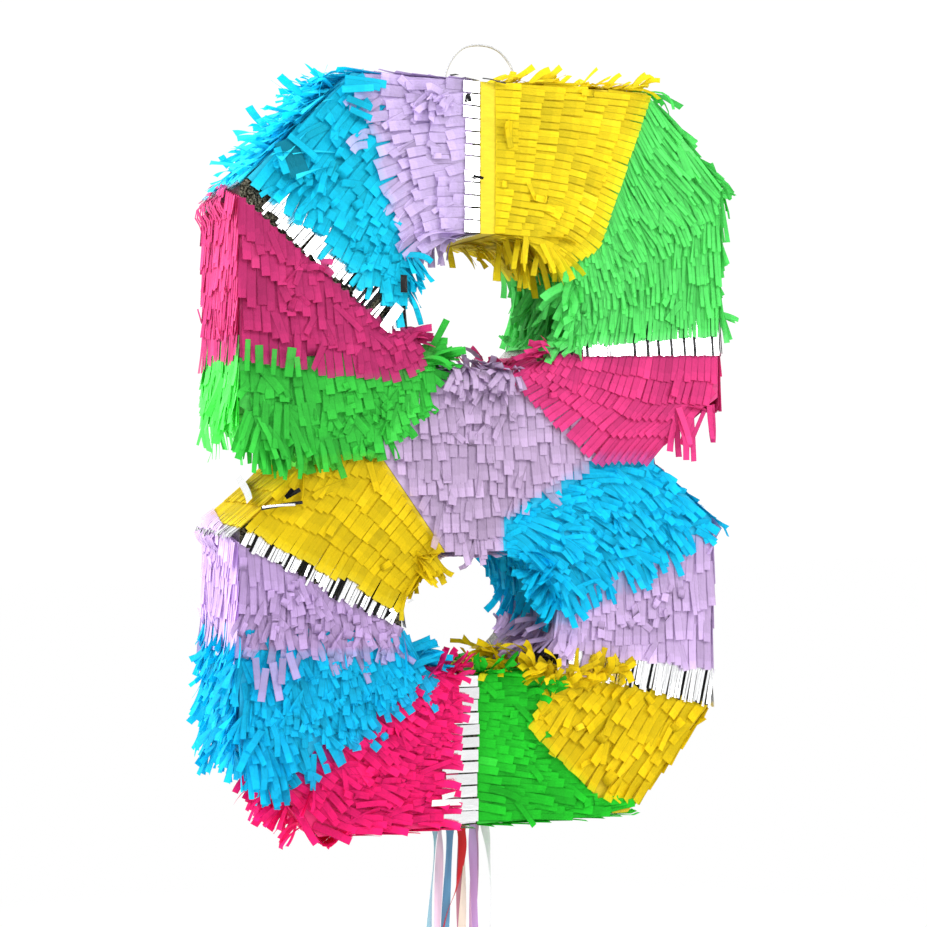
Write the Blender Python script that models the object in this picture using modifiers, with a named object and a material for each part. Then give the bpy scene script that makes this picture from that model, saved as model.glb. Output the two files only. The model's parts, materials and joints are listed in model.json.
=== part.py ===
"""A pull-string pinata: a cardboard box in the shape of the figure 8, covered in blocks of tissue fringe.

Units are metres, +Z is up and the front faces -Y. The origin is the top of the hanging loop. The 8 itself
is drawn about its own centre and then moved down, so every outline below reads from the middle of the 8.
"""

import math

import bmesh
import bpy
from mathutils import Vector

# Driving dimensions of the 8, over its tissue.
HALF_HEIGHT = 0.210
HALF_DEPTH = 0.044
TISSUE = 0.0006  # the glued base of the fringe
CARD = 0.0015  # corrugated board
GAP = 0.0003  # kept between neighbours

# Half the width of the 8 at its four outer corners, and the corners that are cut off it.
UPPER_HALF_WIDTH = 0.146
LOWER_LEFT_HALF_WIDTH = 0.146
LOWER_RIGHT_HALF_WIDTH = 0.140
TOP_LEFT_CUT = (0.063, 0.065)
TOP_RIGHT_CUT = (0.049, 0.052)
BOTTOM_RIGHT_CUT = (0.055, 0.061)
BOTTOM_LEFT_CUT = (0.044, 0.053)
HOLE_CUT = 0.021

# Low x, high x, low z, high z of each hole.
UPPER_HOLE = (-0.053, 0.049, 0.046, 0.124)
LOWER_HOLE = (-0.054, 0.042, -0.127, -0.056)

# The hanging loop: where it stands on the top, and how it runs from foot to foot.
LOOP_X = 0.010
LOOP_RISE = 0.031
CORD_RADIUS = 0.0008
CORD_HOLE_RADIUS = 0.0022
LOOP_HALF_WIDTH = 0.022
LOOP_ROUTE = (
    (-0.0220, 0.0005),
    (-0.0224, 0.0060),
    (-0.0216, 0.0130),
    (-0.0178, 0.0210),
    (-0.0105, 0.0280),
    (0.0000, 0.0302),
    (0.0105, 0.0280),
    (0.0178, 0.0210),
    (0.0216, 0.0130),
    (0.0224, 0.0060),
    (0.0220, 0.0005),
)
KNOT_RADIUS = 0.003
LOOP_PLATE = (0.064, 0.034)  # the card that spreads the pull, along x and y

# Low x, high x of the two openings; the trapdoor's half depth; low z, high z of the fill flap.
TRAPDOOR_X = (-0.032, 0.028)
TRAPDOOR_HALF_DEPTH = 0.030
FILL_FLAP_X = (-0.036, 0.032)
FILL_FLAP_Z = (0.145, 0.190)
FLAP_CLEARANCE = 0.0009

# The wall strips meet at these x.
TOP_JOINTS = (-0.060, 0.075)
BOTTOM_JOINTS = (-0.070, 0.055)
SEAM_TAPE = (0.022, 0.070, 0.0002)

TAPE_PATCH = (-0.0245, -0.0100, -0.2090, -0.1975)  # low x, high x, low z, high z

# The ribbons hang from a bar of card under the trapdoor.
RIBBON_BAR = (-0.0225, 0.0185, 0.0025)  # low x, high x, height
RIBBON_PIVOT_DROP = 0.0022
RIBBON_WIDTH = 0.005
RIBBON_THICKNESS = 0.0005
RIBBON_STEPS = 16

# Down each ribbon: x, y and how far below the bar, and then its colour.
RIBBON_ROUTES = {
    "ribbon_light_blue": (
        (-0.0180, 0.0004, 0.000),
        (-0.0187, 0.0004, 0.020),
        (-0.0218, 0.0006, 0.060),
        (-0.0232, 0.0020, 0.120),
        (-0.0210, 0.0040, 0.190),
        (-0.0225, 0.0060, 0.262),
    ),
    "ribbon_pale_pink": (
        (-0.0152, 0.0016, 0.000),
        (-0.0150, 0.0018, 0.020),
        (-0.0160, 0.0030, 0.060),
        (-0.0172, 0.0060, 0.120),
        (-0.0150, 0.0090, 0.190),
        (-0.0165, 0.0100, 0.250),
    ),
    "ribbon_blue": (
        (-0.0088, 0.0004, 0.000),
        (-0.0096, 0.0004, 0.020),
        (-0.0118, 0.0006, 0.060),
        (-0.0140, 0.0016, 0.120),
        (-0.0110, 0.0020, 0.190),
        (-0.0125, 0.0020, 0.275),
    ),
    "ribbon_red": (
        (-0.0036, -0.0010, 0.000),
        (-0.0018, -0.0011, 0.018),
        (-0.0052, -0.0013, 0.040),
        (-0.0135, -0.0020, 0.062),
        (-0.0205, -0.0035, 0.110),
        (-0.0170, -0.0060, 0.180),
        (-0.0195, -0.0070, 0.268),
    ),
    "ribbon_cream": (
        (0.0002, 0.0012, 0.000),
        (0.0003, 0.0013, 0.020),
        (-0.0006, 0.0020, 0.060),
        (-0.0030, 0.0035, 0.120),
        (-0.0010, 0.0045, 0.190),
        (-0.0030, 0.0045, 0.240),
    ),
    "ribbon_lilac": (
        (0.0046, -0.0004, 0.000),
        (0.0050, -0.0004, 0.020),
        (0.0062, -0.0006, 0.060),
        (0.0092, -0.0010, 0.120),
        (0.0070, -0.0014, 0.190),
        (0.0085, -0.0014, 0.280),
    ),
    "ribbon_mauve": (
        (0.0066, 0.0012, 0.000),
        (0.0072, 0.0014, 0.020),
        (0.0060, 0.0026, 0.060),
        (0.0040, 0.0050, 0.120),
        (0.0062, 0.0075, 0.190),
        (0.0046, 0.0080, 0.255),
    ),
    "ribbon_white": (
        (0.0115, 0.0004, 0.000),
        (0.0150, 0.0004, 0.020),
        (0.0168, 0.0006, 0.055),
        (0.0140, 0.0016, 0.110),
        (0.0158, 0.0024, 0.180),
        (0.0140, 0.0030, 0.262),
    ),
    "ribbon_rose": (
        (-0.0036, 0.0028, 0.000),
        (-0.0024, 0.0030, 0.020),
        (-0.0010, 0.0040, 0.060),
        (0.0010, 0.0065, 0.120),
        (-0.0012, 0.0100, 0.190),
        (0.0005, 0.0115, 0.246),
    ),
}

# The lines where one block of fringe meets the next, each from inside a hole out past the 8's edge.
SEAMS = {
    "lilac_foil_top": ((-0.017, 0.095), (-0.017, 0.235)),
    "foil_yellow_top": ((-0.007, 0.095), (-0.007, 0.235)),
    "yellow_green": ((0.020, 0.092), (0.066, 0.117), (0.109, 0.235)),
    "green_foil": ((0.015, 0.060), (0.050, 0.0615), (0.175, 0.072)),
    "foil_pink_right": ((0.010, 0.055), (0.050, 0.0555), (0.175, 0.058)),
    "pink_lilac": ((0.005, 0.052), (0.066, -0.002)),
    "pink_cyan": ((0.066, -0.002), (0.175, -0.003)),
    "cyan_lilac_centre": ((0.005, -0.075), (0.004, -0.038), (0.066, -0.002)),
    "cyan_lilac_right": ((0.018, -0.108), (0.048, -0.0965), (0.175, -0.034)),
    "lilac_foil_right": ((0.018, -0.112), (0.041, -0.113), (0.175, -0.136)),
    "foil_yellow_right": ((0.016, -0.117), (0.038, -0.125), (0.175, -0.160)),
    "yellow_green_bottom": ((0.012, -0.119), (0.033, -0.134), (0.023, -0.157), (0.095, -0.230)),
    "green_foil_bottom": ((-0.009, -0.119), (-0.009, -0.235)),
    "foil_pink_bottom": ((-0.020, -0.119), (-0.020, -0.235)),
    "pink_cyan_left": ((-0.030, -0.118), (-0.050, -0.133), (-0.175, -0.227)),
    "cyan_lilac_left": ((-0.030, -0.108), (-0.056, -0.109), (-0.175, -0.105)),
    "lilac_foil_left": ((-0.030, -0.098), (-0.054, -0.099), (-0.175, -0.033)),
    "foil_yellow_left": ((-0.030, -0.088), (-0.054, -0.0845), (-0.175, -0.020)),
    "yellow_lilac_centre": ((-0.020, -0.075), (-0.029, -0.054), (-0.067, 0.000)),
    "yellow_green_left": ((-0.067, 0.000), (-0.175, -0.003)),
    "green_lilac_centre": ((-0.024, 0.056), (-0.067, 0.000)),
    "pink_green_left": ((-0.030, 0.060), (-0.053, 0.040), (-0.175, 0.056)),
    "foil_pink_left": ((-0.030, 0.072), (-0.062, 0.068), (-0.175, 0.164)),
    "cyan_foil_left": ((-0.030, 0.080), (-0.055, 0.082), (-0.175, 0.175)),
    "lilac_cyan": ((-0.030, 0.096), (-0.054, 0.110), (-0.078, 0.210), (-0.084, 0.235)),
}

# Each block of fringe: its colour, the seams round it, in order, and any corner beyond the 8 between them.
# A seam named with a leading minus is followed from outside to inside.
BLOCKS = {
    "foil_top": ("foil", ("lilac_foil_top", "-foil_yellow_top")),
    "yellow_top": ("yellow", ("foil_yellow_top", "-yellow_green")),
    "green_right": ("green", ("yellow_green", (0.175, 0.215), "-green_foil")),
    "foil_right": ("foil", ("green_foil", "-foil_pink_right")),
    "pink_right": ("pink", ("foil_pink_right", "-pink_cyan", "-pink_lilac")),
    "lilac_centre": (
        "lilac",
        ("pink_lilac", "-cyan_lilac_centre", "yellow_lilac_centre", "-green_lilac_centre"),
    ),
    "cyan_right": ("cyan", ("cyan_lilac_centre", "pink_cyan", "-cyan_lilac_right")),
    "lilac_right": ("lilac", ("cyan_lilac_right", "-lilac_foil_right")),
    "foil_lower_right": ("foil", ("lilac_foil_right", "-foil_yellow_right")),
    "yellow_lower_right": ("yellow", ("foil_yellow_right", (0.175, -0.235), "-yellow_green_bottom")),
    "green_bottom": ("green", ("yellow_green_bottom", "-green_foil_bottom")),
    "foil_bottom": ("foil", ("green_foil_bottom", "-foil_pink_bottom")),
    "pink_bottom": ("pink", ("foil_pink_bottom", (-0.130, -0.240), "-pink_cyan_left")),
    "cyan_lower_left": ("cyan", ("pink_cyan_left", "-cyan_lilac_left")),
    "lilac_left": ("lilac", ("cyan_lilac_left", "-lilac_foil_left")),
    "foil_lower_left": ("foil", ("lilac_foil_left", "-foil_yellow_left")),
    "yellow_left": ("yellow", ("foil_yellow_left", "-yellow_green_left", "-yellow_lilac_centre")),
    "green_left": ("green", ("green_lilac_centre", "yellow_green_left", "-pink_green_left")),
    "pink_left": ("pink", ("pink_green_left", "-foil_pink_left")),
    "foil_upper_left": ("foil", ("foil_pink_left", "-cyan_foil_left")),
    "cyan_upper_left": ("cyan", ("cyan_foil_left", (-0.175, 0.235), "-lilac_cyan")),
    "lilac_top": ("lilac", ("lilac_cyan", "-lilac_foil_top")),
}
AT_CORDS = ("foil_top", "yellow_top")
AT_TRAPDOOR = ("green_bottom", "foil_bottom", "pink_bottom")
AT_FILL_FLAP = ("foil_top", "yellow_top", "lilac_top")

# Base colour, roughness, metallic.
FINISHES = {
    "yellow": ((0.94, 0.75, 0.02), 0.80, 0.0),
    "green": ((0.06, 0.66, 0.13), 0.80, 0.0),
    "pink": ((0.86, 0.03, 0.24), 0.80, 0.0),
    "lilac": ((0.65, 0.48, 0.78), 0.80, 0.0),
    "cyan": ((0.01, 0.60, 0.90), 0.80, 0.0),
    "foil": ((0.86, 0.87, 0.89), 0.18, 1.0),
    "cardboard": ((0.46, 0.31, 0.18), 0.90, 0.0),
    "kraft_tape": ((0.58, 0.42, 0.25), 0.60, 0.0),
    "clear_tape": ((0.90, 0.91, 0.92), 0.15, 0.0),
    "cord": ((0.85, 0.85, 0.83), 0.60, 0.0),
    "ribbon_light_blue": ((0.40, 0.72, 0.86), 0.30, 0.0),
    "ribbon_pale_pink": ((0.88, 0.66, 0.82), 0.30, 0.0),
    "ribbon_blue": ((0.13, 0.38, 0.66), 0.30, 0.0),
    "ribbon_red": ((0.72, 0.01, 0.01), 0.30, 0.0),
    "ribbon_cream": ((0.92, 0.86, 0.76), 0.30, 0.0),
    "ribbon_lilac": ((0.66, 0.42, 0.80), 0.30, 0.0),
    "ribbon_mauve": ((0.76, 0.44, 0.68), 0.30, 0.0),
    "ribbon_white": ((0.88, 0.88, 0.90), 0.30, 0.0),
    "ribbon_rose": ((0.86, 0.58, 0.66), 0.30, 0.0),
}

# The centre of the 8, seen from the top of the loop.
CENTRE = Vector((-LOOP_X, 0, -HALF_HEIGHT - LOOP_RISE))


def clear_scene():
    for obj in list(bpy.data.objects):
        bpy.data.objects.remove(obj, do_unlink=True)


def collection(name, hidden=False):
    made = bpy.data.collections.new(name)
    made.hide_render = hidden
    bpy.context.scene.collection.children.link(made)
    return made


def material(name):
    if name in bpy.data.materials:
        return bpy.data.materials[name]
    colour, roughness, metallic = FINISHES[name]
    made = bpy.data.materials.new(name)
    made.use_nodes = True
    shader = made.node_tree.nodes["Principled BSDF"]
    shader.inputs["Base Color"].default_value = (*colour, 1)
    shader.inputs["Roughness"].default_value = roughness
    shader.inputs["Metallic"].default_value = metallic
    made.diffuse_color = (*colour, 1)
    return made


# Outlines, as lists of (x, z) about the centre of the 8


def outline_of_eight():
    """The outer edge of the 8, clockwise from its top left corner, with a notch each side at the waist."""
    left, right = -UPPER_HALF_WIDTH, UPPER_HALF_WIDTH
    low_left, low_right = -LOWER_LEFT_HALF_WIDTH, LOWER_RIGHT_HALF_WIDTH
    top, bottom = HALF_HEIGHT, -HALF_HEIGHT
    return [
        (left + TOP_LEFT_CUT[0], top),
        (right - TOP_RIGHT_CUT[0], top),
        (right, top - TOP_RIGHT_CUT[1]),
        (right - 0.002, 0.032),
        (0.102, 0.003),
        (0.102, -0.007),
        (low_right, -0.040),
        (low_right - 0.001, bottom + BOTTOM_RIGHT_CUT[1]),
        (low_right - BOTTOM_RIGHT_CUT[0], bottom),
        (low_left + BOTTOM_LEFT_CUT[0], bottom),
        (low_left, bottom + BOTTOM_LEFT_CUT[1]),
        (low_left, -0.042),
        (-0.110, -0.009),
        (-0.110, 0.001),
        (left, 0.026),
        (left, top - TOP_LEFT_CUT[1]),
    ]


def rectangle(low_x, high_x, low_z, high_z):
    return [(low_x, high_z), (high_x, high_z), (high_x, low_z), (low_x, low_z)]


def outline_of_hole(low_x, high_x, low_z, high_z):
    """A rectangle with its corners cut off, clockwise."""
    cut = HOLE_CUT
    return [
        (low_x + cut, high_z),
        (high_x - cut, high_z),
        (high_x, high_z - cut),
        (high_x, low_z + cut),
        (high_x - cut, low_z),
        (low_x + cut, low_z),
        (low_x, low_z + cut),
        (low_x, high_z - cut),
    ]


def grown(outline, distance):
    """The outline with each edge moved out by distance, or in where it is negative."""
    points = [Vector(point) for point in outline]
    area = sum(a.x * b.y - b.x * a.y for a, b in zip(points, points[1:] + points[:1]))
    turn = 1 if area > 0 else -1
    moved = []
    for i, point in enumerate(points):
        before = (point - points[i - 1]).normalized()
        after = (points[(i + 1) % len(points)] - point).normalized()
        out_before = Vector((before.y, -before.x)) * turn
        out_after = Vector((after.y, -after.x)) * turn
        moved.append(point + (out_before + out_after) * distance / (1 + out_before.dot(out_after)))
    return [tuple(point) for point in moved]


def outlines_inside(depth):
    """The 8 and its two holes, with every wall drawn back by depth into the body."""
    return [
        grown(outline_of_eight(), -depth),
        grown(outline_of_hole(*UPPER_HOLE), depth),
        grown(outline_of_hole(*LOWER_HOLE), depth),
    ]


# Solids


def mesh_object(name, mesh, where, colour):
    made = bpy.data.objects.new(name, mesh)
    where.objects.link(made)
    if colour:
        mesh.materials.clear()
        mesh.materials.append(material(colour))
    else:
        made.hide_render = True
        made.display_type = "WIRE"
    return made


def plate(name, outlines, low_y, high_y, where, colour=None):
    """A flat plate of these outlines, holes among them, that fills the space from low_y to high_y."""
    curve = bpy.data.curves.new(name, "CURVE")
    curve.dimensions = "2D"
    curve.fill_mode = "BOTH"
    curve.extrude = (high_y - low_y) / 2
    for outline in outlines:
        spline = curve.splines.new("POLY")
        spline.points.add(len(outline) - 1)
        for point, (x, z) in zip(spline.points, outline):
            point.co = (x, z, 0, 1)
        spline.use_cyclic_u = True
    guide = bpy.data.objects.new(name + "_guide", curve)
    where.objects.link(guide)
    guide.rotation_euler = (math.pi / 2, 0, 0)
    guide.location = (0, (low_y + high_y) / 2, 0)
    bpy.context.view_layer.update()
    mesh = bpy.data.meshes.new_from_object(guide.evaluated_get(bpy.context.evaluated_depsgraph_get()))
    mesh.transform(guide.matrix_world)
    bpy.data.objects.remove(guide, do_unlink=True)
    mesh.name = name
    shape = bmesh.new()
    shape.from_mesh(mesh)
    bmesh.ops.remove_doubles(shape, verts=shape.verts, dist=1e-6)
    bmesh.ops.recalc_face_normals(shape, faces=shape.faces)
    shape.to_mesh(mesh)
    shape.free()
    return mesh_object(name, mesh, where, colour)


def box(name, low, high, where, colour=None):
    shape = bmesh.new()
    bmesh.ops.create_cube(shape, size=1)
    for vert in shape.verts:
        vert.co = Vector([low[i] + (vert.co[i] + 0.5) * (high[i] - low[i]) for i in range(3)])
    mesh = bpy.data.meshes.new(name)
    shape.to_mesh(mesh)
    shape.free()
    return mesh_object(name, mesh, where, colour)


def round_cutter(name, centre, radius, low_z, high_z, where):
    shape = bmesh.new()
    bmesh.ops.create_cone(
        shape, cap_ends=True, segments=16, radius1=radius, radius2=radius, depth=high_z - low_z
    )
    bmesh.ops.translate(shape, verts=shape.verts, vec=(centre[0], centre[1], (low_z + high_z) / 2))
    mesh = bpy.data.meshes.new(name)
    shape.to_mesh(mesh)
    shape.free()
    return mesh_object(name, mesh, where, None)


def boolean(obj, operation, other):
    cut = obj.modifiers.new(operation.lower(), "BOOLEAN")
    cut.operation = operation
    cut.solver = "EXACT"
    cut.object = other


def world_place(obj):
    bpy.context.view_layer.update()
    return obj.matrix_world.translation.copy()


def hang_on(pivot, objects, across=0):
    """Parents objects drawn about the centre of the 8 to the empty on their joint's axis."""
    place = world_place(pivot)
    for obj in objects:
        obj.parent = pivot
        obj.location = CENTRE - place + Vector((across, 0, 0))


def pivot_at(name, x, y, z, where, parent=None):
    """An empty on a joint's axis; x, y and z are about the centre of the 8."""
    made = bpy.data.objects.new(name, None)
    where.objects.link(made)
    made.empty_display_size = 0.02
    made.location = CENTRE + Vector((x, y, z))
    if parent:
        made.location -= world_place(parent)
        made.parent = parent
    return made


def smooth_line(points, steps):
    """Points along a Catmull-Rom curve through the given ones."""
    points = [Vector(point) for point in points]
    padded = [2 * points[0] - points[1], *points, 2 * points[-1] - points[-2]]
    line = []
    for step in range(steps + 1):
        place = step / steps * (len(points) - 1)
        i = min(int(place), len(points) - 2)
        t = place - i
        a, b, c, d = padded[i : i + 4]
        line.append(
            0.5
            * (
                2 * b
                + (c - a) * t
                + (2 * a - 5 * b + 4 * c - d) * t**2
                + (3 * b - a - 3 * c + d) * t**3
            )
        )
    return line


# The parts


def make_cutters(where):
    wall_y = HALF_DEPTH - TISSUE - 2 * GAP - CARD
    skin = plate("cutter_skin", outlines_inside(0), -HALF_DEPTH, HALF_DEPTH, where)
    core_y = HALF_DEPTH - TISSUE
    core = plate("cutter_core", outlines_inside(TISSUE), -core_y, core_y, where)
    outer = grown(outline_of_eight(), -TISSUE - GAP)
    wall = plate("cutter_wall", [outer, grown(outer, -CARD)], -wall_y, wall_y, where)
    trapdoor = box(
        "cutter_trapdoor",
        (TRAPDOOR_X[0], -TRAPDOOR_HALF_DEPTH, -HALF_HEIGHT - 0.01),
        (TRAPDOOR_X[1], TRAPDOOR_HALF_DEPTH, -HALF_HEIGHT + 0.01),
        where,
    )
    fill = box(
        "cutter_fill_flap",
        (FILL_FLAP_X[0], HALF_DEPTH - 0.01, FILL_FLAP_Z[0]),
        (FILL_FLAP_X[1], HALF_DEPTH + 0.01, FILL_FLAP_Z[1]),
        where,
    )
    cords = [
        round_cutter(
            "cutter_cord_" + side,
            (LOOP_X + sign * LOOP_HALF_WIDTH, 0),
            CORD_HOLE_RADIUS,
            HALF_HEIGHT - 0.012,
            HALF_HEIGHT + 0.01,
            where,
        )
        for side, sign in (("left", -1), ("right", 1))
    ]
    return {"skin": skin, "core": core, "wall": wall, "trapdoor": trapdoor, "fill": fill, "cords": cords}


def make_box(parts, cutters):
    """The cardboard: two panels, four wall strips, the walls of the two holes, and tape over the joints."""
    face = HALF_DEPTH - TISSUE - GAP
    wall_y = face - CARD - GAP
    front = plate("front_panel", outlines_inside(TISSUE + GAP), -face, -face + CARD, parts, "cardboard")
    back = plate("back_panel", outlines_inside(TISSUE + GAP), face - CARD, face, parts, "cardboard")
    boolean(back, "DIFFERENCE", cutters["fill"])

    half = GAP / 2
    top, bottom = 0.195, -0.195
    regions = {
        "top_wall": rectangle(TOP_JOINTS[0] + half, TOP_JOINTS[1] - half, top, 0.24),
        "bottom_wall": rectangle(BOTTOM_JOINTS[0] + half, BOTTOM_JOINTS[1] - half, -0.24, bottom),
        "outer_wall_left": [
            (TOP_JOINTS[0] - half, 0.24),
            (TOP_JOINTS[0] - half, top),
            (-0.080, 0.0),
            (BOTTOM_JOINTS[0] - half, bottom),
            (BOTTOM_JOINTS[0] - half, -0.24),
            (-0.18, -0.24),
            (-0.18, 0.24),
        ],
        "outer_wall_right": [
            (TOP_JOINTS[1] + half, 0.24),
            (0.18, 0.24),
            (0.18, -0.24),
            (BOTTOM_JOINTS[1] + half, -0.24),
            (BOTTOM_JOINTS[1] + half, bottom),
            (0.070, 0.0),
            (TOP_JOINTS[1] + half, top),
        ],
    }
    walls = {}
    for name, region in regions.items():
        walls[name] = plate(name, [region], -0.05, 0.05, parts, "cardboard")
        boolean(walls[name], "INTERSECT", cutters["wall"])
    boolean(walls["bottom_wall"], "DIFFERENCE", cutters["trapdoor"])
    for cutter in cutters["cords"]:
        boolean(walls["top_wall"], "DIFFERENCE", cutter)

    for name, hole in (("upper_hole_wall", UPPER_HOLE), ("lower_hole_wall", LOWER_HOLE)):
        edge = grown(outline_of_hole(*hole), TISSUE + GAP)
        walls[name] = plate(name, [grown(edge, CARD), edge], -wall_y, wall_y, parts, "cardboard")

    length, width, thickness = SEAM_TAPE
    inside = HALF_HEIGHT - TISSUE - 2 * GAP - CARD
    tapes = []
    for side, joints, sign in (("top", TOP_JOINTS, 1), ("bottom", BOTTOM_JOINTS, -1)):
        for end, x in zip(("left", "right"), joints):
            z = sorted((sign * inside, sign * (inside - thickness)))
            tapes.append(
                box(
                    f"seam_tape_{side}_{end}",
                    (x - length / 2, -width / 2, z[0]),
                    (x + length / 2, width / 2, z[1]),
                    parts,
                    "kraft_tape",
                )
            )
    return [front, back, *walls.values(), *tapes]


def followed(name):
    """A seam's points, turned round where its name starts with a minus."""
    return list(reversed(SEAMS[name[1:]])) if name.startswith("-") else list(SEAMS[name])


def region_of(block):
    """The closed outline of a block of fringe, walked seam by seam."""
    points = []
    for part in BLOCKS[block][1]:
        for point in followed(part) if isinstance(part, str) else [part]:
            if not points or (Vector(point) - Vector(points[-1])).length > 1e-6:
                points.append(point)
    if (Vector(points[0]) - Vector(points[-1])).length < 1e-6:
        points.pop()
    return points


def make_fringe(parts, cutters):
    """Each block of tissue or foil, as a thin sleeve glued round its limb of the 8."""
    sleeves = []
    for block, (colour, _) in BLOCKS.items():
        sleeve = plate(block, [grown(region_of(block), -GAP / 2)], -0.06, 0.06, parts, colour)
        boolean(sleeve, "INTERSECT", cutters["skin"])
        boolean(sleeve, "DIFFERENCE", cutters["core"])
        if block in AT_TRAPDOOR:
            boolean(sleeve, "DIFFERENCE", cutters["trapdoor"])
        if block in AT_FILL_FLAP:
            boolean(sleeve, "DIFFERENCE", cutters["fill"])
        if block in AT_CORDS:
            for cutter in cutters["cords"]:
                boolean(sleeve, "DIFFERENCE", cutter)
        sleeves.append(sleeve)
    return sleeves


def make_tape_patch(parts):
    low_x, high_x, low_z, high_z = TAPE_PATCH
    front = -HALF_DEPTH - GAP
    return box("tape_patch", (low_x, front - 0.0002, low_z), (high_x, front, high_z), parts, "clear_tape")


def make_loop(parts):
    """The cord loop that everything hangs from. Its two feet end on the pinata's swing axis."""
    curve = bpy.data.curves.new("hang_loop", "CURVE")
    curve.dimensions = "3D"
    curve.bevel_depth = CORD_RADIUS
    curve.bevel_resolution = 2
    curve.use_fill_caps = True
    points = smooth_line([(x, 0, z) for x, z in LOOP_ROUTE], 30)
    spline = curve.splines.new("POLY")
    spline.points.add(len(points) - 1)
    for point, place in zip(spline.points, points):
        point.co = (*place, 1)
    curve.materials.append(material("cord"))
    loop = bpy.data.objects.new("hang_loop", curve)
    parts.objects.link(loop)
    loop.location = (0, 0, -LOOP_RISE)
    return loop


def make_loop_ends(parts, cutters):
    """Inside the top wall: the card plate that takes the pull, and a knotted cord end each side."""
    plate_top = HALF_HEIGHT - TISSUE - 2 * GAP - CARD
    length, width = LOOP_PLATE
    card = box(
        "loop_plate",
        (LOOP_X - length / 2, -width / 2, plate_top - CARD),
        (LOOP_X + length / 2, width / 2, plate_top),
        parts,
        "cardboard",
    )
    for cutter in cutters["cords"]:
        boolean(card, "DIFFERENCE", cutter)

    knots = []
    knot_top = plate_top - CARD - GAP
    for side, sign in (("left", -1), ("right", 1)):
        profile = [(0, HALF_HEIGHT - GAP), (CORD_RADIUS, HALF_HEIGHT - GAP), (CORD_RADIUS, knot_top)]
        for step in range(1, 8):
            angle = math.pi / 2 - step / 8 * math.pi
            profile.append((KNOT_RADIUS * math.cos(angle), knot_top - KNOT_RADIUS * (1 - math.sin(angle))))
        profile.append((0, knot_top - 2 * KNOT_RADIUS))
        mesh = bpy.data.meshes.new("loop_knot_" + side)
        mesh.from_pydata([(x, 0, z) for x, z in profile], [(i, i + 1) for i in range(len(profile) - 1)], [])
        knot = mesh_object("loop_knot_" + side, mesh, parts, "cord")
        screw = knot.modifiers.new("turn", "SCREW")
        screw.axis = "Z"
        screw.steps = 12
        screw.render_steps = 12
        screw.use_merge_vertices = True
        screw.merge_threshold = 1e-5
        knots.append((knot, LOOP_X + sign * LOOP_HALF_WIDTH))
    return card, knots


def make_trapdoor(parts):
    """The door in the bottom wall, hinged along its back edge, with the fringe's base glued under it."""
    outer = -HALF_HEIGHT
    low_x, high_x = TRAPDOOR_X[0] + FLAP_CLEARANCE, TRAPDOOR_X[1] - FLAP_CLEARANCE
    low_y, high_y = -TRAPDOOR_HALF_DEPTH + FLAP_CLEARANCE, TRAPDOOR_HALF_DEPTH - FLAP_CLEARANCE
    card_z = outer + TISSUE + GAP
    door = [box("trapdoor", (low_x, low_y, card_z), (high_x, high_y, card_z + CARD), parts, "cardboard")]
    foil = SEAMS["foil_pink_bottom"][0][0], SEAMS["green_foil_bottom"][0][0]
    spans = (
        ("trapdoor_tissue_pink", low_x, foil[0] - GAP / 2, "pink"),
        ("trapdoor_foil", foil[0] + GAP / 2, foil[1] - GAP / 2, "foil"),
        ("trapdoor_tissue_green", foil[1] + GAP / 2, high_x, "green"),
    )
    for name, start, end, colour in spans:
        door.append(box(name, (start, low_y, outer), (end, high_y, outer + TISSUE), parts, colour))
    return door


def make_fill_flap(parts):
    """The flap in the back panel, hinged along its top edge, with the fringe's base glued over it."""
    outer = HALF_DEPTH
    low_x, high_x = FILL_FLAP_X[0] + FLAP_CLEARANCE, FILL_FLAP_X[1] - FLAP_CLEARANCE
    low_z, high_z = FILL_FLAP_Z[0] + FLAP_CLEARANCE, FILL_FLAP_Z[1] - FLAP_CLEARANCE
    card_y = outer - TISSUE - GAP
    flap = [box("fill_flap", (low_x, card_y - CARD, low_z), (high_x, card_y, high_z), parts, "cardboard")]
    foil = SEAMS["lilac_foil_top"][0][0], SEAMS["foil_yellow_top"][0][0]
    spans = (
        ("fill_flap_tissue_lilac", low_x, foil[0] - GAP / 2, "lilac"),
        ("fill_flap_foil", foil[0] + GAP / 2, foil[1] - GAP / 2, "foil"),
        ("fill_flap_tissue_yellow", foil[1] + GAP / 2, high_x, "yellow"),
    )
    for name, start, end, colour in spans:
        flap.append(box(name, (start, outer - TISSUE, low_z), (end, outer, high_z), parts, colour))
    return flap


def make_ribbons(parts):
    """The bar of card under the trapdoor, and the flat ribbons that hang from it."""
    low_x, high_x, height = RIBBON_BAR
    top = -HALF_HEIGHT - RIBBON_PIVOT_DROP
    bar = box("ribbon_bar", (low_x, -CARD / 2, top - height), (high_x, CARD / 2, top), parts, "cardboard")
    start = top - height - GAP
    made = [bar]
    for name, route in RIBBON_ROUTES.items():
        line = smooth_line([(x, y, start - drop) for x, y, drop in route], RIBBON_STEPS)
        shape = bmesh.new()
        bmesh.ops.create_grid(shape, x_segments=1, y_segments=RIBBON_STEPS, size=0.5)
        for vert in shape.verts:
            row = round((vert.co.y + 0.5) * RIBBON_STEPS)
            across = math.copysign(RIBBON_WIDTH / 2, vert.co.x)
            vert.co = line[row] + Vector((across, 0, 0))
        mesh = bpy.data.meshes.new(name)
        shape.to_mesh(mesh)
        shape.free()
        ribbon = mesh_object(name, mesh, parts, name)
        thick = ribbon.modifiers.new("thickness", "SOLIDIFY")
        thick.thickness = RIBBON_THICKNESS
        thick.offset = 0
        made.append(ribbon)
    return made


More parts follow.
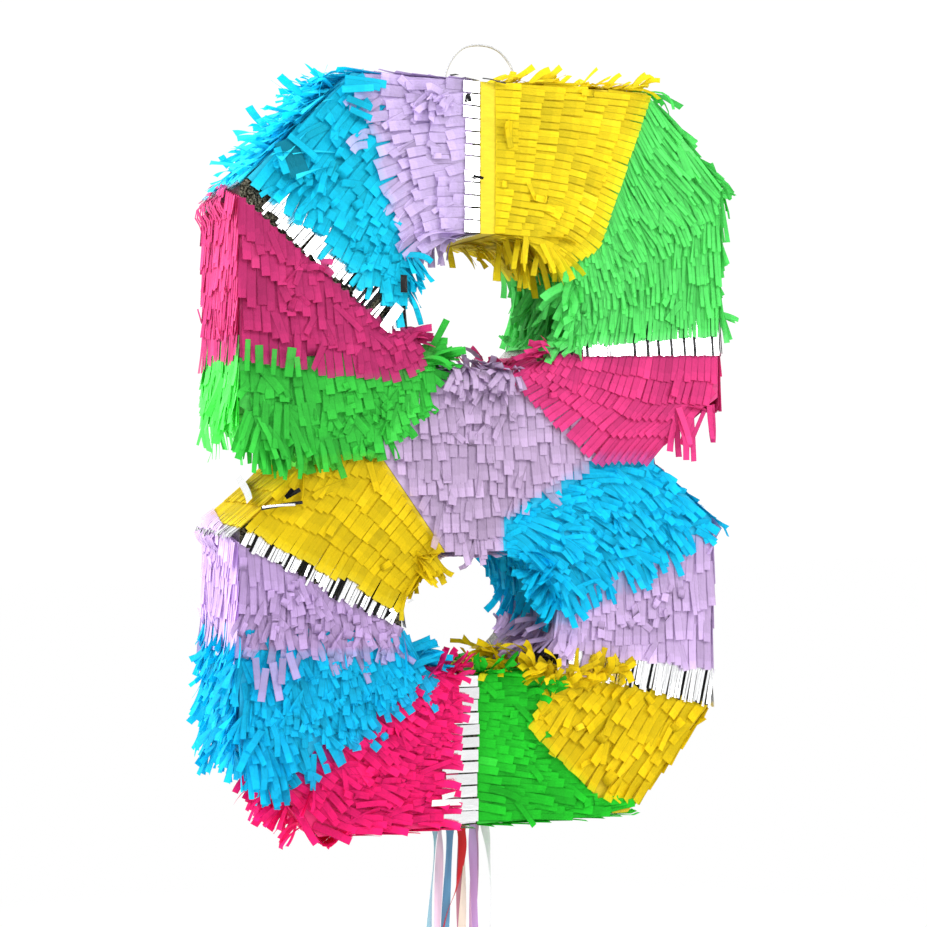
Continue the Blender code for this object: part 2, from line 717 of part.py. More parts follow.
def main():
    clear_scene()
    parts = collection("pinata_8")
    cutters = make_cutters(collection("cutters", hidden=True))

    make_loop(parts)
    card, knots = make_loop_ends(parts, cutters)
    shell = [*make_box(parts, cutters), *make_fringe(parts, cutters), make_tape_patch(parts), card]

    swing = pivot_at("swing_axis", LOOP_X, 0, HALF_HEIGHT, parts)
    hang_on(swing, shell)
    for knot, x in knots:
        hang_on(swing, [knot], x)

    trapdoor_axis = pivot_at("trapdoor_axis", 0, TRAPDOOR_HALF_DEPTH, -HALF_HEIGHT, parts, swing)
    hang_on(trapdoor_axis, make_trapdoor(parts))
    ribbon_axis = pivot_at("ribbon_axis", 0, 0, -HALF_HEIGHT - RIBBON_PIVOT_DROP, parts, trapdoor_axis)
    hang_on(ribbon_axis, make_ribbons(parts))
    fill_axis = pivot_at("fill_flap_axis", 0, HALF_DEPTH, FILL_FLAP_Z[1], parts, swing)
    hang_on(fill_axis, make_fill_flap(parts))

    # Cutters stay where the pieces they cut are drawn.
    for cutter in bpy.data.collections["cutters"].objects:
        cutter.location = CENTRE


main()
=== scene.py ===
"""The looks of the figure-8 pinata: tissue and foil fringe, hanging ribbons, card, tape and cord.

Everything on the 8 is worked out about its own centre, in metres, and moved into place by CENTRE at the end.
The front faces -Y. A flap is one cut strip of a fringe. A row is the flaps of one glued strip of paper. Rows
run right round a limb: across the front, round the outside, across the back and through the hole.
"""

import json
import math

import bpy
import numpy as np
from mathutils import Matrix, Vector


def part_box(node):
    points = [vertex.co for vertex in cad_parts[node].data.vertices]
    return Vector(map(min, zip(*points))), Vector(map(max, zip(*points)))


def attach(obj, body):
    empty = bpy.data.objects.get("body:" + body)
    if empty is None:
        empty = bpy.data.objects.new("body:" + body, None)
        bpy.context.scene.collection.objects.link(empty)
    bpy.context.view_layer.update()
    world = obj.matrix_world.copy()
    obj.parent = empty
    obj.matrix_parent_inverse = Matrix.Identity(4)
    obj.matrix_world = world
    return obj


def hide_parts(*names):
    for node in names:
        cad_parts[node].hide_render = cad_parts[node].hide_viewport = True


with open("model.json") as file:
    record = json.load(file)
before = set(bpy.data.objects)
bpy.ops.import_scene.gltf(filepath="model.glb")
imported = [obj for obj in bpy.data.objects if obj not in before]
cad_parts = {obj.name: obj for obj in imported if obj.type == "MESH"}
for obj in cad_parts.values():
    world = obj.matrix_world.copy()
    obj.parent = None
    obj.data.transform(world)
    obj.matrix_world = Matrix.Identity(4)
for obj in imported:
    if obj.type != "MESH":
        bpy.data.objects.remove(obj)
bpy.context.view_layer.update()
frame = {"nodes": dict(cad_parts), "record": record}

HALF_HEIGHT = 0.210
HALF_DEPTH = 0.044
LOOP_X = 0.010
LOOP_RISE = 0.031
CENTRE = np.array([-LOOP_X, 0, -HALF_HEIGHT - LOOP_RISE])
MM = 1000  # millimetres in a metre

# The 8's own outline in millimetres, clockwise seen from the front.
OUTER = (
    (-83, 210), (97, 210), (146, 158), (144, 32), (102, 3), (102, -7), (140, -40), (139, -149),
    (85, -210), (-102, -210), (-146, -157), (-146, -42), (-110, -9), (-110, 1), (-146, 26),
    (-146, 145),
)
# The holes and the panels that open, in metres: low x, high x, and low and high z, or y for the trapdoor.
UPPER_HOLE = (-0.053, 0.049, 0.046, 0.124)
LOWER_HOLE = (-0.054, 0.042, -0.127, -0.056)
HOLE_CUT = 0.021
TRAPDOOR = (-0.032, 0.028, -0.030, 0.030)
FILL_FLAP = (-0.036, 0.032, 0.145, 0.190)

# Where one block of fringe meets the next, in millimetres, from inside a hole out past the 8's edge.
SEAMS = {
    "lilac_foil_top": ((-17, 95), (-17, 235)),
    "foil_yellow_top": ((-7, 95), (-7, 235)),
    "yellow_green": ((20, 92), (66, 117), (109, 235)),
    "green_foil": ((15, 60), (50, 61.5), (175, 72)),
    "foil_pink_right": ((10, 55), (50, 55.5), (175, 58)),
    "pink_lilac": ((5, 52), (66, -2)),
    "pink_cyan": ((66, -2), (175, -3)),
    "cyan_lilac_centre": ((5, -75), (4, -38), (66, -2)),
    "cyan_lilac_right": ((18, -108), (48, -96.5), (175, -34)),
    "lilac_foil_right": ((18, -112), (41, -113), (175, -136)),
    "foil_yellow_right": ((16, -117), (38, -125), (175, -160)),
    "yellow_green_bottom": ((12, -119), (33, -134), (23, -157), (66, -199), (110, -207)),
    "green_foil_bottom": ((-9, -119), (-9, -235)),
    "foil_pink_bottom": ((-20, -119), (-20, -235)),
    "pink_cyan_left": ((-30, -118), (-50, -133), (-175, -227)),
    "cyan_lilac_left": ((-30, -108), (-56, -109), (-175, -105)),
    "lilac_foil_left": ((-30, -98), (-54, -99), (-175, -33)),
    "foil_yellow_left": ((-30, -88), (-54, -84.5), (-175, -20)),
    "yellow_lilac_centre": ((-20, -75), (-29, -54), (-67, 0)),
    "yellow_green_left": ((-67, 0), (-175, -3)),
    "green_lilac_centre": ((-24, 56), (-67, 0)),
    "pink_green_left": ((-30, 60), (-53, 40), (-175, 56)),
    "foil_pink_left": ((-30, 72), (-62, 68), (-175, 168)),
    "cyan_foil_left": ((-30, 80), (-55, 82), (-175, 175)),
    "lilac_cyan": ((-30, 96), (-54, 110), (-78, 210), (-84, 235)),
}

# Paint of the paper, in linear light.
PAINT = {
    "yellow": (0.830, 0.650, 0.010),
    "green": (0.105, 0.740, 0.145),
    "pink": (0.725, 0.045, 0.222),
    "lilac": (0.620, 0.490, 0.780),
    "cyan": (0.002, 0.560, 0.860),
    "foil": (0.900, 0.905, 0.915),
}

# The rows of each style of fringe, in metres: how much of each row shows, a flap's length and width, and how
# often neighbouring flaps stay together.
ROWS = {
    "neat": (0.0112, 0.027, 0.0044, 0.35),
    "brushed": (0.0105, 0.03, 0.0027, 0.3),
    "squares": (0.0106, 0.026, 0.0054, 0.45),
    "patches": (0.0104, 0.025, 0.0064, 0.25),
    "flush": (0.01, 0.026, 0.0046, 0.5),
    "hanging": (0.011, 0.028, 0.0056, 0.45),
    "rumpled": (0.0106, 0.026, 0.0044, 0.5),
    "crumpled": (0.0098, 0.024, 0.0044, 0.35),
    "shaggy": (0.0096, 0.026, 0.0042, 0.3),
    "wild": (0.009, 0.026, 0.0044, 0.25),
    "streaky": (0.0125, 0.034, 0.0042, 0.45),
    "foil": (0.02, 0.022, 0.0072, 0.45),
    "foil_slit": (0.02, 0.022, 0.0017, 0.3),
}

# How the flaps of each style lie, in metres and degrees: the gap between neighbours, how far they swing
# aside, how far a tip curls up, the spread of that, how far a tip turns about its own length, how much the
# ends of the clumps differ, how much a flap gives way to its weight, how far it follows a corner, how often
# one is folded back on itself, and how much the painted shade line along the sides of neighbours, which
# stands in for the shade in the slits between them, is softened.
LIES = {
    "neat": (0.0003, 0.8, 1.5, 2.0, 4, 0.0005, 0.02, 1.0, 0.006, 0.0),
    "brushed": (0.0003, 4.2, 4, 6, 13, 0.0034, 0.06, 0.8, 0.0, 0.0),
    "squares": (0.0003, 2.6, 4, 5, 8, 0.0018, 0.04, 0.8, 0.03, 0.0),
    "patches": (0.0003, 4.0, 5, 7, 12, 0.002, 0.06, 0.6, 0.05, 0.0),
    "flush": (0.0001, 1.2, 0.2, 0.9, 2, 0.0008, 0.0, 1.0, 0.0, 0.00026),
    "hanging": (0.0003, 5.0, 6, 6, 9, 0.0032, 0.2, 0.1, 0.03, 0.0),
    "rumpled": (0.0002, 2.6, 3, 5, 6, 0.0028, 0.05, 1.0, 0.03, 0.0),
    "crumpled": (0.0003, 9.0, 11, 10, 16, 0.0022, 0.15, 0.5, 0.08, 0.0),
    "shaggy": (0.0003, 15.0, 13, 12, 24, 0.0034, 0.35, 0.3, 0.06, 0.0),
    "wild": (0.0003, 20.0, 26, 18, 40, 0.004, 0.6, 0.0, 0.03, 0.0),
    "tuft": (0.0003, 10.0, 6, 14, 35, 0.002, 0.45, 0.0, 0.0, 0.0),
    "strewn": (0.0003, 28.0, 9, 10, 22, 0.003, 0.1, 0.6, 0.18, 0.0),
    "streaky": (0.0003, 1.6, 1.5, 2.5, 5, 0.003, 0.04, 1.2, 0.0, 0.0),
    "foil": (0.001, 0.8, 2, 2, 2, 0.0005, 0.0, 1.0, 0.0, 0.0),
    "foil_slit": (0.0002, 1.4, 2, 3, 4, 0.0012, 0.0, 1.0, 0.0, 0.0),
    "single": (0.0, 1.0, 3, 3, 5, 0.0, 0.02, 1.0, 0.0, 0.0),
}

# What a block is where its own entry doesn't say.
PLAIN = dict(
    header=0.0, under=0.012, over=0.0, lift=0.0, trim=1.0, plumb=0.0, lean=0.0, mess=0, mess_end=0.90,
    slant=0.0, dark=(), bare=(), shade=(1, 1, 1), wall_tone=1.0,
)


def block(colour, start, end, face, wall, hole, **more):
    """A block's colour, the seams its rows start from and end at, and the styles of its faces, of its outer
    wall and of the wall of its hole.

    header: the width of the uncut band at its start. under: how far it reaches back under the block before.
    over: how far its last row passes its end. lift: how far that row's tips rise. trim: how ragged that row
    is beside the others. plumb: how far the flaps turn from the flow to straight down. lean: how many degrees
    they turn to the right. mess: how many loose flaps lie on each face. mess_end: where their roots stop, on
    the way from its first row at 0 to its last at 1. slant: how much earlier its rows on the outer wall start
    at the back. dark and bare: the stretches of its front, from 0 at the hole to 1 at the edge, where foil
    is painted near-black as a painted reflection of something dark and where flaps are torn off, and how
    many do. shade: how the paper differs from its colour's paint: partly its own colour, and partly painted
    shade on the faces that are darker in their light, most of all on the left. wall_tone: how much
    lighter the paper is painted on the outer wall, as painted light where the lamps fall on that side.
    """
    made = dict(colour=colour, start=start.split(), end=end.split(), face=face, wall=wall, hole=hole)
    return PLAIN | made | more


BLOCKS = {
    "foil_top": block("foil", "foil_yellow_top", "lilac_foil_top", "foil", "foil", "foil", under=-0.0005),
    "yellow_top": block(
        "yellow", "foil_yellow_top", "yellow_green", "neat", "shaggy", "squares", header=0.009, trim=0.4,
        lift=0.0004, mess=4,
    ),
    "green_right": block(
        "green", "yellow_green", "green_foil", "brushed", "shaggy", "wild", trim=0.15, over=0.001, mess=22,
    ),
    "foil_right": block(
        "foil", "green_foil", "foil_pink_right", "foil_slit", "foil_slit", None, bare=[(0, 0.17, 1)],
        dark=[(0.17, 0.45, 0.05), (0.45, 1, 0.18)], over=0.0005, trim=0.15,
    ),
    "pink_right": block(
        "pink", "foil_pink_right", "pink_lilac pink_cyan", "neat", "streaky", "wild", under=0.001,
        over=0.006, lift=0.002, trim=1.5, mess=3,
    ),
    "cyan_right": block(
        "cyan", "cyan_lilac_centre pink_cyan", "cyan_lilac_right", "shaggy", "shaggy", "wild", header=0.006,
        over=0.002, lean=14, mess=90,
    ),
    "lilac_right": block(
        "lilac", "cyan_lilac_right", "lilac_foil_right", "squares", "streaky", "shaggy", plumb=0.5, mess=18,
        shade=(0.97, 0.9, 0.91),
    ),
    "foil_lower_right": block(
        "foil", "lilac_foil_right", "foil_yellow_right", "foil_slit", "foil_slit", None,
        bare=[(0, 0.12, 1)], dark=[(0, 1, 0.06)],
    ),
    "yellow_lower_right": block(
        "yellow", "foil_yellow_right", "yellow_green_bottom", "patches", "squares", "wild", under=0.001,
        over=0.002, trim=0.2, lift=0.0022, mess=16, shade=(0.95, 0.88, 0.25),
    ),
    "green_bottom": block(
        "green", "green_foil_bottom", "yellow_green_bottom", "squares", "neat", "shaggy", under=-0.0005,
        mess=16, shade=(0.14, 0.73, 0.15), trim=0.5,
    ),
    "foil_bottom": block("foil", "foil_pink_bottom", "green_foil_bottom", "foil", "foil", None),
    "pink_bottom": block(
        "pink", "pink_cyan_left", "foil_pink_bottom", "crumpled", "neat", "wild", mess=90, mess_end=0.78,
        trim=0.35, over=0.001, shade=(1.16, 0.22, 0.75),
    ),
    "cyan_lower_left": block(
        "cyan", "cyan_lilac_left", "pink_cyan_left", "shaggy", "wild", "wild", over=0.003, plumb=0.3,
        mess=200, shade=(1.0, 0.9, 0.94),
    ),
    "lilac_left": block(
        "lilac", "lilac_foil_left", "cyan_lilac_left", "crumpled", "rumpled", "shaggy", under=0.001,
        over=0.005, plumb=0.6, trim=2, mess=70, shade=(0.82, 0.72, 0.81), slant=0.02, wall_tone=1.38,
    ),
    "foil_lower_left": block(
        "foil", "foil_yellow_left", "lilac_foil_left", "foil_slit", "foil_slit", "foil", under=0.004,
        dark=[(0.1, 1, 0.55)],
    ),
    "yellow_left": block(
        "yellow", "yellow_lilac_centre yellow_green_left", "foil_yellow_left", "flush", "neat", "shaggy",
        header=0.003, over=0.004, lift=0.001, mess=5, shade=(0.87, 0.81, 0.25),
    ),
    "green_left": block(
        "green", "pink_green_left", "green_lilac_centre yellow_green_left", "hanging", "hanging", "wild",
        over=0.006, plumb=0.75, lift=0.0018, mess=80, shade=(0.38, 0.7, 0.36), wall_tone=1.6,
    ),
    "pink_left": block(
        "pink", "foil_pink_left", "pink_green_left", "squares", "rumpled", "shaggy", plumb=0.4,
        header=0.003, over=0.002, trim=0.4, mess=16, mess_end=0.66, shade=(0.76, 0.7, 0.76), slant=0.027,
        wall_tone=1.28,
    ),
    "foil_upper_left": block(
        "foil", "cyan_foil_left", "foil_pink_left", "foil_slit", "foil_slit", "foil",
        bare=[(0.87, 1.0, 0.95), (0.12, 0.45, 0.3)], dark=[(0.08, 0.45, 0.55), (0.55, 0.85, 0.05)],
    ),
    "cyan_upper_left": block(
        "cyan", "lilac_cyan", "cyan_foil_left", "patches", "shaggy", "wild", over=0.002, mess=55,
        shade=(1.3, 1.0, 0.91), wall_tone=1.3,
    ),
    "lilac_top": block(
        "lilac", "lilac_foil_top", "lilac_cyan", "patches", "squares", "shaggy", over=0.003, under=0.005,
        trim=1.3, mess=14,
    ),
}
WAIST_MESS = 36
# The waist's paper against the lilac paint: partly its own colour, and partly painted shade of the waist
# between the holes.
WAIST_SHADE = (0.86, 0.81, 0.77)

# Rumpled places, in millimetres: the middle of a small box, half its size, which way the paper there faces
# and points, how many flaps, and their length.
TUFTS = {
    "yellow_top": [
        ((26, -28, 122), (14, 14, 1), (0, 0, -1), (0.15, -0.15, -1), 26, 28),
        ((8, -10, 123), (14, 30, 1), (0, 0, -1), (0.8, -0.15, -0.4), 16, 18),
        ((30, -43, 116), (10, 1, 4), (0, -1, -0.3), (0.3, -0.2, -0.9), 12, 20),
        ((46, -36, 210.5), (48, 7, 0.5), (0, -0.5, 0.9), (0.8, -0.15, 0.5), 46, 15),
        ((10, -45.5, 176), (2, 0.2, 3), (0, -1, 0), (0.2, -0.3, 1), 3, 12),
    ],
    "green_right": [
        ((47, -15, 90), (2, 24, 16), (-1, -0.2, 0), (-0.45, -0.25, -0.85), 34, 27),
        ((50, -44.5, 86), (4, 1, 18), (-0.5, -0.8, 0), (-0.45, -0.25, -0.8), 24, 20),
        ((46, -42, 64), (8, 3, 4), (-0.4, -0.8, 0.3), (-0.7, -0.3, -0.5), 12, 18),
        ((146, -40, 155), (1, 2, 3), (0.8, -0.5, 0), (1, 0, -0.2), 2, 11),
        ((146, -40, 81), (1, 2, 2), (0.8, -0.5, 0), (1, 0, -0.05), 2, 13),
    ],
    "pink_right": [
        ((38, -41, 56), (6, 3, 4), (-0.5, -0.6, 0.5), (-0.9, -0.35, 0.15), 14, 20),
        ((12, 0, 47), (10, 20, 1), (0, -0.2, 1), (-0.7, -0.3, 0.7), 14, 16),
        ((124, -44.5, 20), (18, 1, 6), (0, -1, 0), (0.05, -0.1, -1), 9, 24),
    ],
    "cyan_right": [
        ((36, -38, -74), (6, 5, 12), (-0.8, -0.5, 0), (-0.75, -0.3, -0.6), 26, 20),
    ],
    "lilac_right": [
        ((36, -12, -106), (3, 26, 8), (-0.8, -0.3, 0.2), (-0.85, -0.25, -0.5), 28, 26),
        ((46, -44, -107), (6, 1, 6), (-0.3, -1, 0), (-0.5, -0.2, -0.7), 12, 18),
    ],
    "yellow_lower_right": [
        ((20, -18, -123.5), (14, 24, 2), (-0.3, -0.3, 1), (-0.9, -0.3, 0.3), 34, 28),
        ((56, -44.5, -131), (26, 1, 6), (0, -1, 0.4), (0.25, -0.35, 0.6), 40, 14),
        ((30, -43, -126), (10, 2, 4), (-0.2, -0.8, 0.6), (-0.5, -0.5, 0.3), 14, 18),
    ],
    "green_bottom": [
        ((4, -40, -127), (12, 4, 1), (0, -0.5, 0.9), (0.3, -0.6, 0.25), 16, 16),
        ((28, -44, -136), (8, 1, 5), (0, -1, 0.3), (0.6, -0.4, 0.5), 10, 14),
    ],
    "pink_bottom": [
        ((-26, -34, -126), (12, 10, 1), (0, -0.4, 0.9), (0.35, -0.45, 0.6), 24, 18),
        ((-118, -20, -190), (18, 22, 16), (-0.7, -0.2, -0.7), (-0.5, -0.25, -0.6), 44, 18),
    ],
    "cyan_lower_left": [
        ((-44, -38, -116), (6, 6, 6), (0.5, -0.6, 0.5), (0.75, -0.4, 0.2), 22, 18),
        ((-146.5, -15, -130), (1, 28, 24), (-1, -0.3, 0), (-0.3, -0.25, -0.8), 70, 18),
        ((-132, -45, -160), (10, 1, 14), (-0.2, -1, 0), (0.1, -0.25, -1), 24, 20),
    ],
    "yellow_left": [
        ((-40, -43, -61), (8, 1, 6), (0.5, -0.7, -0.3), (0.5, -0.3, -0.7), 16, 14),
    ],
    "green_left": [
        ((-36, -40, 52), (8, 4, 4), (0.3, -0.6, 0.6), (0.8, -0.4, 0.3), 18, 18),
        ((-146.5, -15, 38), (1, 26, 10), (-1, -0.3, 0), (-0.05, -0.05, -1), 34, 24),
        ((-128, -44.5, 20), (18, 0.5, 8), (0, -1, 0), (0.15, -0.1, -1), 46, 28),
        ((-108, -44.5, 10), (10, 0.5, 6), (0, -1, 0), (0, -0.1, -1), 16, 22),
    ],
    "pink_left": [
        ((-50, -41, 64), (3, 3, 4), (0.5, -0.6, 0.3), (0.8, -0.4, 0.1), 10, 14),
        ((-105, -46, 103), (4, 0.4, 3), (0, -1, 0), (0.8, -0.2, 0.1), 5, 9),
    ],
    "cyan_upper_left": [
        ((-50, -42, 100), (4, 3, 10), (0.6, -0.7, 0), (0.45, -0.35, -0.8), 22, 18),
        ((-118, -8, 182), (26, 34, 26), (-0.7, -0.3, 0.7), (-0.85, -0.25, -0.22), 140, 23),
        ((-95, -12, 204), (14, 30, 6), (-0.5, -0.3, 0.8), (-0.92, -0.2, -0.08), 60, 21),
        ((-104, -45.5, 152), (8, 1, 8), (0, -1, 0), (-0.3, -0.3, -0.8), 8, 14),
    ],
    "lilac_top": [
        ((-28, -20, 121), (12, 16, 1), (0, 0, -1), (-0.2, -0.2, -1), 10, 18),
        ((-32, -46.5, 196), (10, 0.6, 6), (0, -1, 0), (-0.7, -0.3, -0.5), 12, 13),
        ((-72, -46, 184), (6, 0.6, 14), (0, -1, 0), (-0.8, -0.15, -0.3), 6, 14),
    ],
    "lilac_centre": [
        ((-6, -43, 45), (22, 2, 1), (0, -0.7, 0.7), (-0.2, -0.5, -0.6), 38, 16),
        ((-10, -45, 38), (17, 0.6, 6), (0, -1, 0), (-0.3, -0.25, -0.8), 16, 14),
        ((-2, -10, 46.5), (18, 30, 0.4), (0, 0, 1), (-0.7, -0.6, 0.15), 30, 20),
    ],
}


def single(x, z, pointing, length, width, tone, lift, facing=(0, -1, 0), y=-44.5):
    """A piece placed by itself, in millimetres: its root, which way it points, its length and width, its tone
    beside the block's paint, how far it stands off, and which way it faces."""
    return np.array([[x, y, z]]) / MM, facing, np.array([pointing]), length / MM, width / MM, tone, lift / MM


# A foil piece with a tone near 0 is painted near-black, as a painted reflection of something dark.
SINGLES = {
    "foil_lower_left": [
        single(-121.5, -19.5, (-0.15, -1, -0.135), 84, 4.4, 1, 5.5, facing=(-0.7, 0, 0.7), y=43),
        single(-135, -30, (0.92, -0.1, 0.4), 23, 1.8, 0.02, 4.5, facing=(-0.2, -1, 0.3), y=-45.5),
        single(-135, -29, (0.95, -0.1, 0.3), 18, 1.4, 1, 5, facing=(-0.2, -1, 0.3), y=-45.5),
        single(-120.5, -25, (0.85, -0.1, 0.5), 9, 2.6, 0.01, 5, facing=(-0.2, -1, 0.3), y=-45.5),
        single(-119.5, -23.5, (0.6, -0.3, 0.8), 6, 2, 0.01, 5, facing=(-0.2, -1, 0.3), y=-45.5),
    ],
    "lilac_left": [
        single(-138.5, -110, (0.1, -0.06, -1), 17, 4, 1.08, 4.6),
        single(-133, -116, (-0.22, -0.08, -1), 18, 4.4, 1, 5.2),
        single(-129, -113, (0.16, -0.06, -1), 21, 4.6, 1.12, 4.6),
        single(-123.5, -111, (-0.08, -0.08, -1), 14, 4, 0.95, 5.2),
        single(-120, -108, (0.3, -0.06, -1), 15, 4.4, 1.05, 4.6),
    ],
    "foil_top": [
        single(-17, 210, (-0.8, -0.3, 0.25), 10, 2, 0.02, 1, facing=(0, -0.5, 0.9)),
        single(-6, 210, (0.9, -0.3, -0.1), 14, 1.6, 0.02, 1.5, facing=(0, -0.6, 0.8)),
        single(-15, 202, (0.1, -0.1, -1), 5, 2.6, 0.02, 2),
        single(-12, 156, (0.9, -0.1, -0.2), 6, 1.6, 0.02, 2),
    ],
    "foil_bottom": [
        single(-20, -196, (-1, -0.05, 0.02), 18, 3.4, 1, 3),
        single(-20, -191, (-1, -0.05, -0.12), 12, 3, 1, 3),
    ],
    "foil_upper_left": [
        single(-56.5, 81.5, (-0.6, -0.06, -0.8), 16.5, 6.2, 1, 4),
        single(-54.5, 98.5, (-0.05, -0.05, -1), 10, 4.2, 0.03, 5),
    ],
    "cyan_upper_left": [
        single(-124.5, 172, (0.42, -0.05, -0.9), 21, 11.5, 0.4, 4.4),
        single(-121.5, 174, (0.8, -0.05, -0.6), 19, 4.2, 1, 5.6),
        single(-127.5, 166, (0.3, -0.05, -0.95), 15, 4.4, 0.95, 5.4),
        single(-90, 207.5, (1, -0.04, -0.02), 23.5, 4.6, 1.05, 4),
        single(-88, 203.5, (1, -0.04, -0.06), 20, 4.4, 0.95, 4.4),
        single(-90, 199.5, (1, -0.04, 0.08), 18, 4.2, 1, 4.8),
        single(-87, 195, (0.9, -0.04, -0.3), 15, 4, 0.85, 4.4),
        single(-85, 189, (0.9, -0.06, -0.4), 13, 4, 0.95, 4.4),
    ],
    "green_left": [
        single(-143, 45, (0.03, -0.05, 1), 17, 3.4, 1.1, 3.4),
        single(-136, 44, (-0.06, -0.05, 1), 15, 4.2, 1, 3.4),
        single(-128.5, 43, (0.05, -0.05, 1), 14, 3, 1.1, 3.4),
        single(-120, 42, (0.1, -0.05, 1), 16, 4.6, 1, 3.4),
        single(-114, 42, (-0.12, -0.05, 1), 11, 3.6, 1.1, 3.4),
    ],
    "foil_lower_right": [
        single(40, -110, (-0.3, -0.08, -1), 12, 2.6, 0.03, 3),
        single(43, -108.5, (-0.3, -0.08, -1), 14, 3.2, 1, 3.2),
        single(46.5, -108.5, (-0.26, -0.08, -1), 14, 2.2, 0.03, 3.4),
        single(49.5, -109, (-0.24, -0.08, -1), 13, 3.2, 1, 3.2),
    ],
}

# The waist between the holes: its left and right edges, as x at each z, going up.
WAIST_LEFT = ((-0.020, -0.075), (-0.029, -0.054), (-0.067, 0.000), (-0.024, 0.056))
WAIST_RIGHT = ((0.005, -0.075), (0.004, -0.038), (0.066, -0.002), (0.005, 0.052))

# The right half of the hanging loop, x and z about its feet, going down.
CORD_RADIUS = 0.0008
LOOP_HALF = ((0.0105, 0.0280), (0.0178, 0.0210), (0.0216, 0.0130), (0.0224, 0.0060), (0.0220, 0.0005))
LOOP_ROUTE = [(-x, z) for x, z in reversed(LOOP_HALF)] + [(0.0, 0.0302)] + list(LOOP_HALF)

# Each ribbon's paint, and its route in millimetres: x, y and distance below where it starts.
RIBBON_WIDTH = 0.005
RIBBON_STEPS = 72
RIBBON_TURN = math.radians(64)
RIBBON_ARCH = 0.22
RIBBONS = {
    "light_blue": (
        (0.28, 0.5, 0.6),
        ((-18, 0.4, 0), (-18.7, 0.4, 20), (-21.8, 0.6, 60), (-23.2, 2, 120), (-21, 4, 190),
         (-22.5, 6, 262)),
    ),
    "pale_pink": (
        (0.7, 0.5, 0.62),
        ((-15.2, 1.6, 0), (-15, 1.8, 20), (-16, 3, 60), (-17.2, 6, 120), (-15, 9, 190), (-16.5, 10, 250)),
    ),
    "blue": (
        (0.11, 0.28, 0.45),
        ((-8.8, 0.4, 0), (-9.6, 0.4, 20), (-11.8, 0.6, 60), (-14, 1.6, 120), (-11, 2, 190),
         (-12.5, 2, 275)),
    ),
    "red": (
        (0.52, 0.006, 0.01),
        ((-3.6, -1, 0), (-1.8, -1.1, 18), (-5.2, -1.3, 40), (-13.5, -2, 62), (-20.5, -3.5, 110),
         (-17, -6, 180), (-19.5, -7, 268)),
    ),
    "cream": (
        (0.7, 0.6, 0.5),
        ((0.2, 1.2, 0), (0.3, 1.3, 20), (-0.6, 2, 60), (-3, 3.5, 120), (-1, 4.5, 190), (-3, 4.5, 240)),
    ),
    "lilac": (
        (0.5, 0.3, 0.6),
        ((4.6, -0.4, 0), (5, -0.4, 20), (6.2, -0.6, 60), (9.2, -1, 120), (7, -1.4, 190),
         (8.5, -1.4, 280)),
    ),
    "mauve": (
        (0.52, 0.3, 0.46),
        ((6.6, 1.2, 0), (7.2, 1.4, 20), (6, 2.6, 60), (4, 5, 120), (6.2, 7.5, 190), (4.6, 8, 255)),
    ),
    "white": (
        (0.68, 0.68, 0.7),
        ((11.5, 0.4, 0), (15, 0.4, 20), (16.8, 0.6, 55), (14, 1.6, 110), (15.8, 2.4, 180), (14, 3, 262)),
    ),
    "rose": (
        (0.55, 0.24, 0.32),
        ((-3.6, 2.8, 0), (-2.4, 3, 20), (-1, 4, 60), (1, 6.5, 120), (-1.2, 10, 190), (0.5, 11.5, 246)),
    ),
}


# Nodes


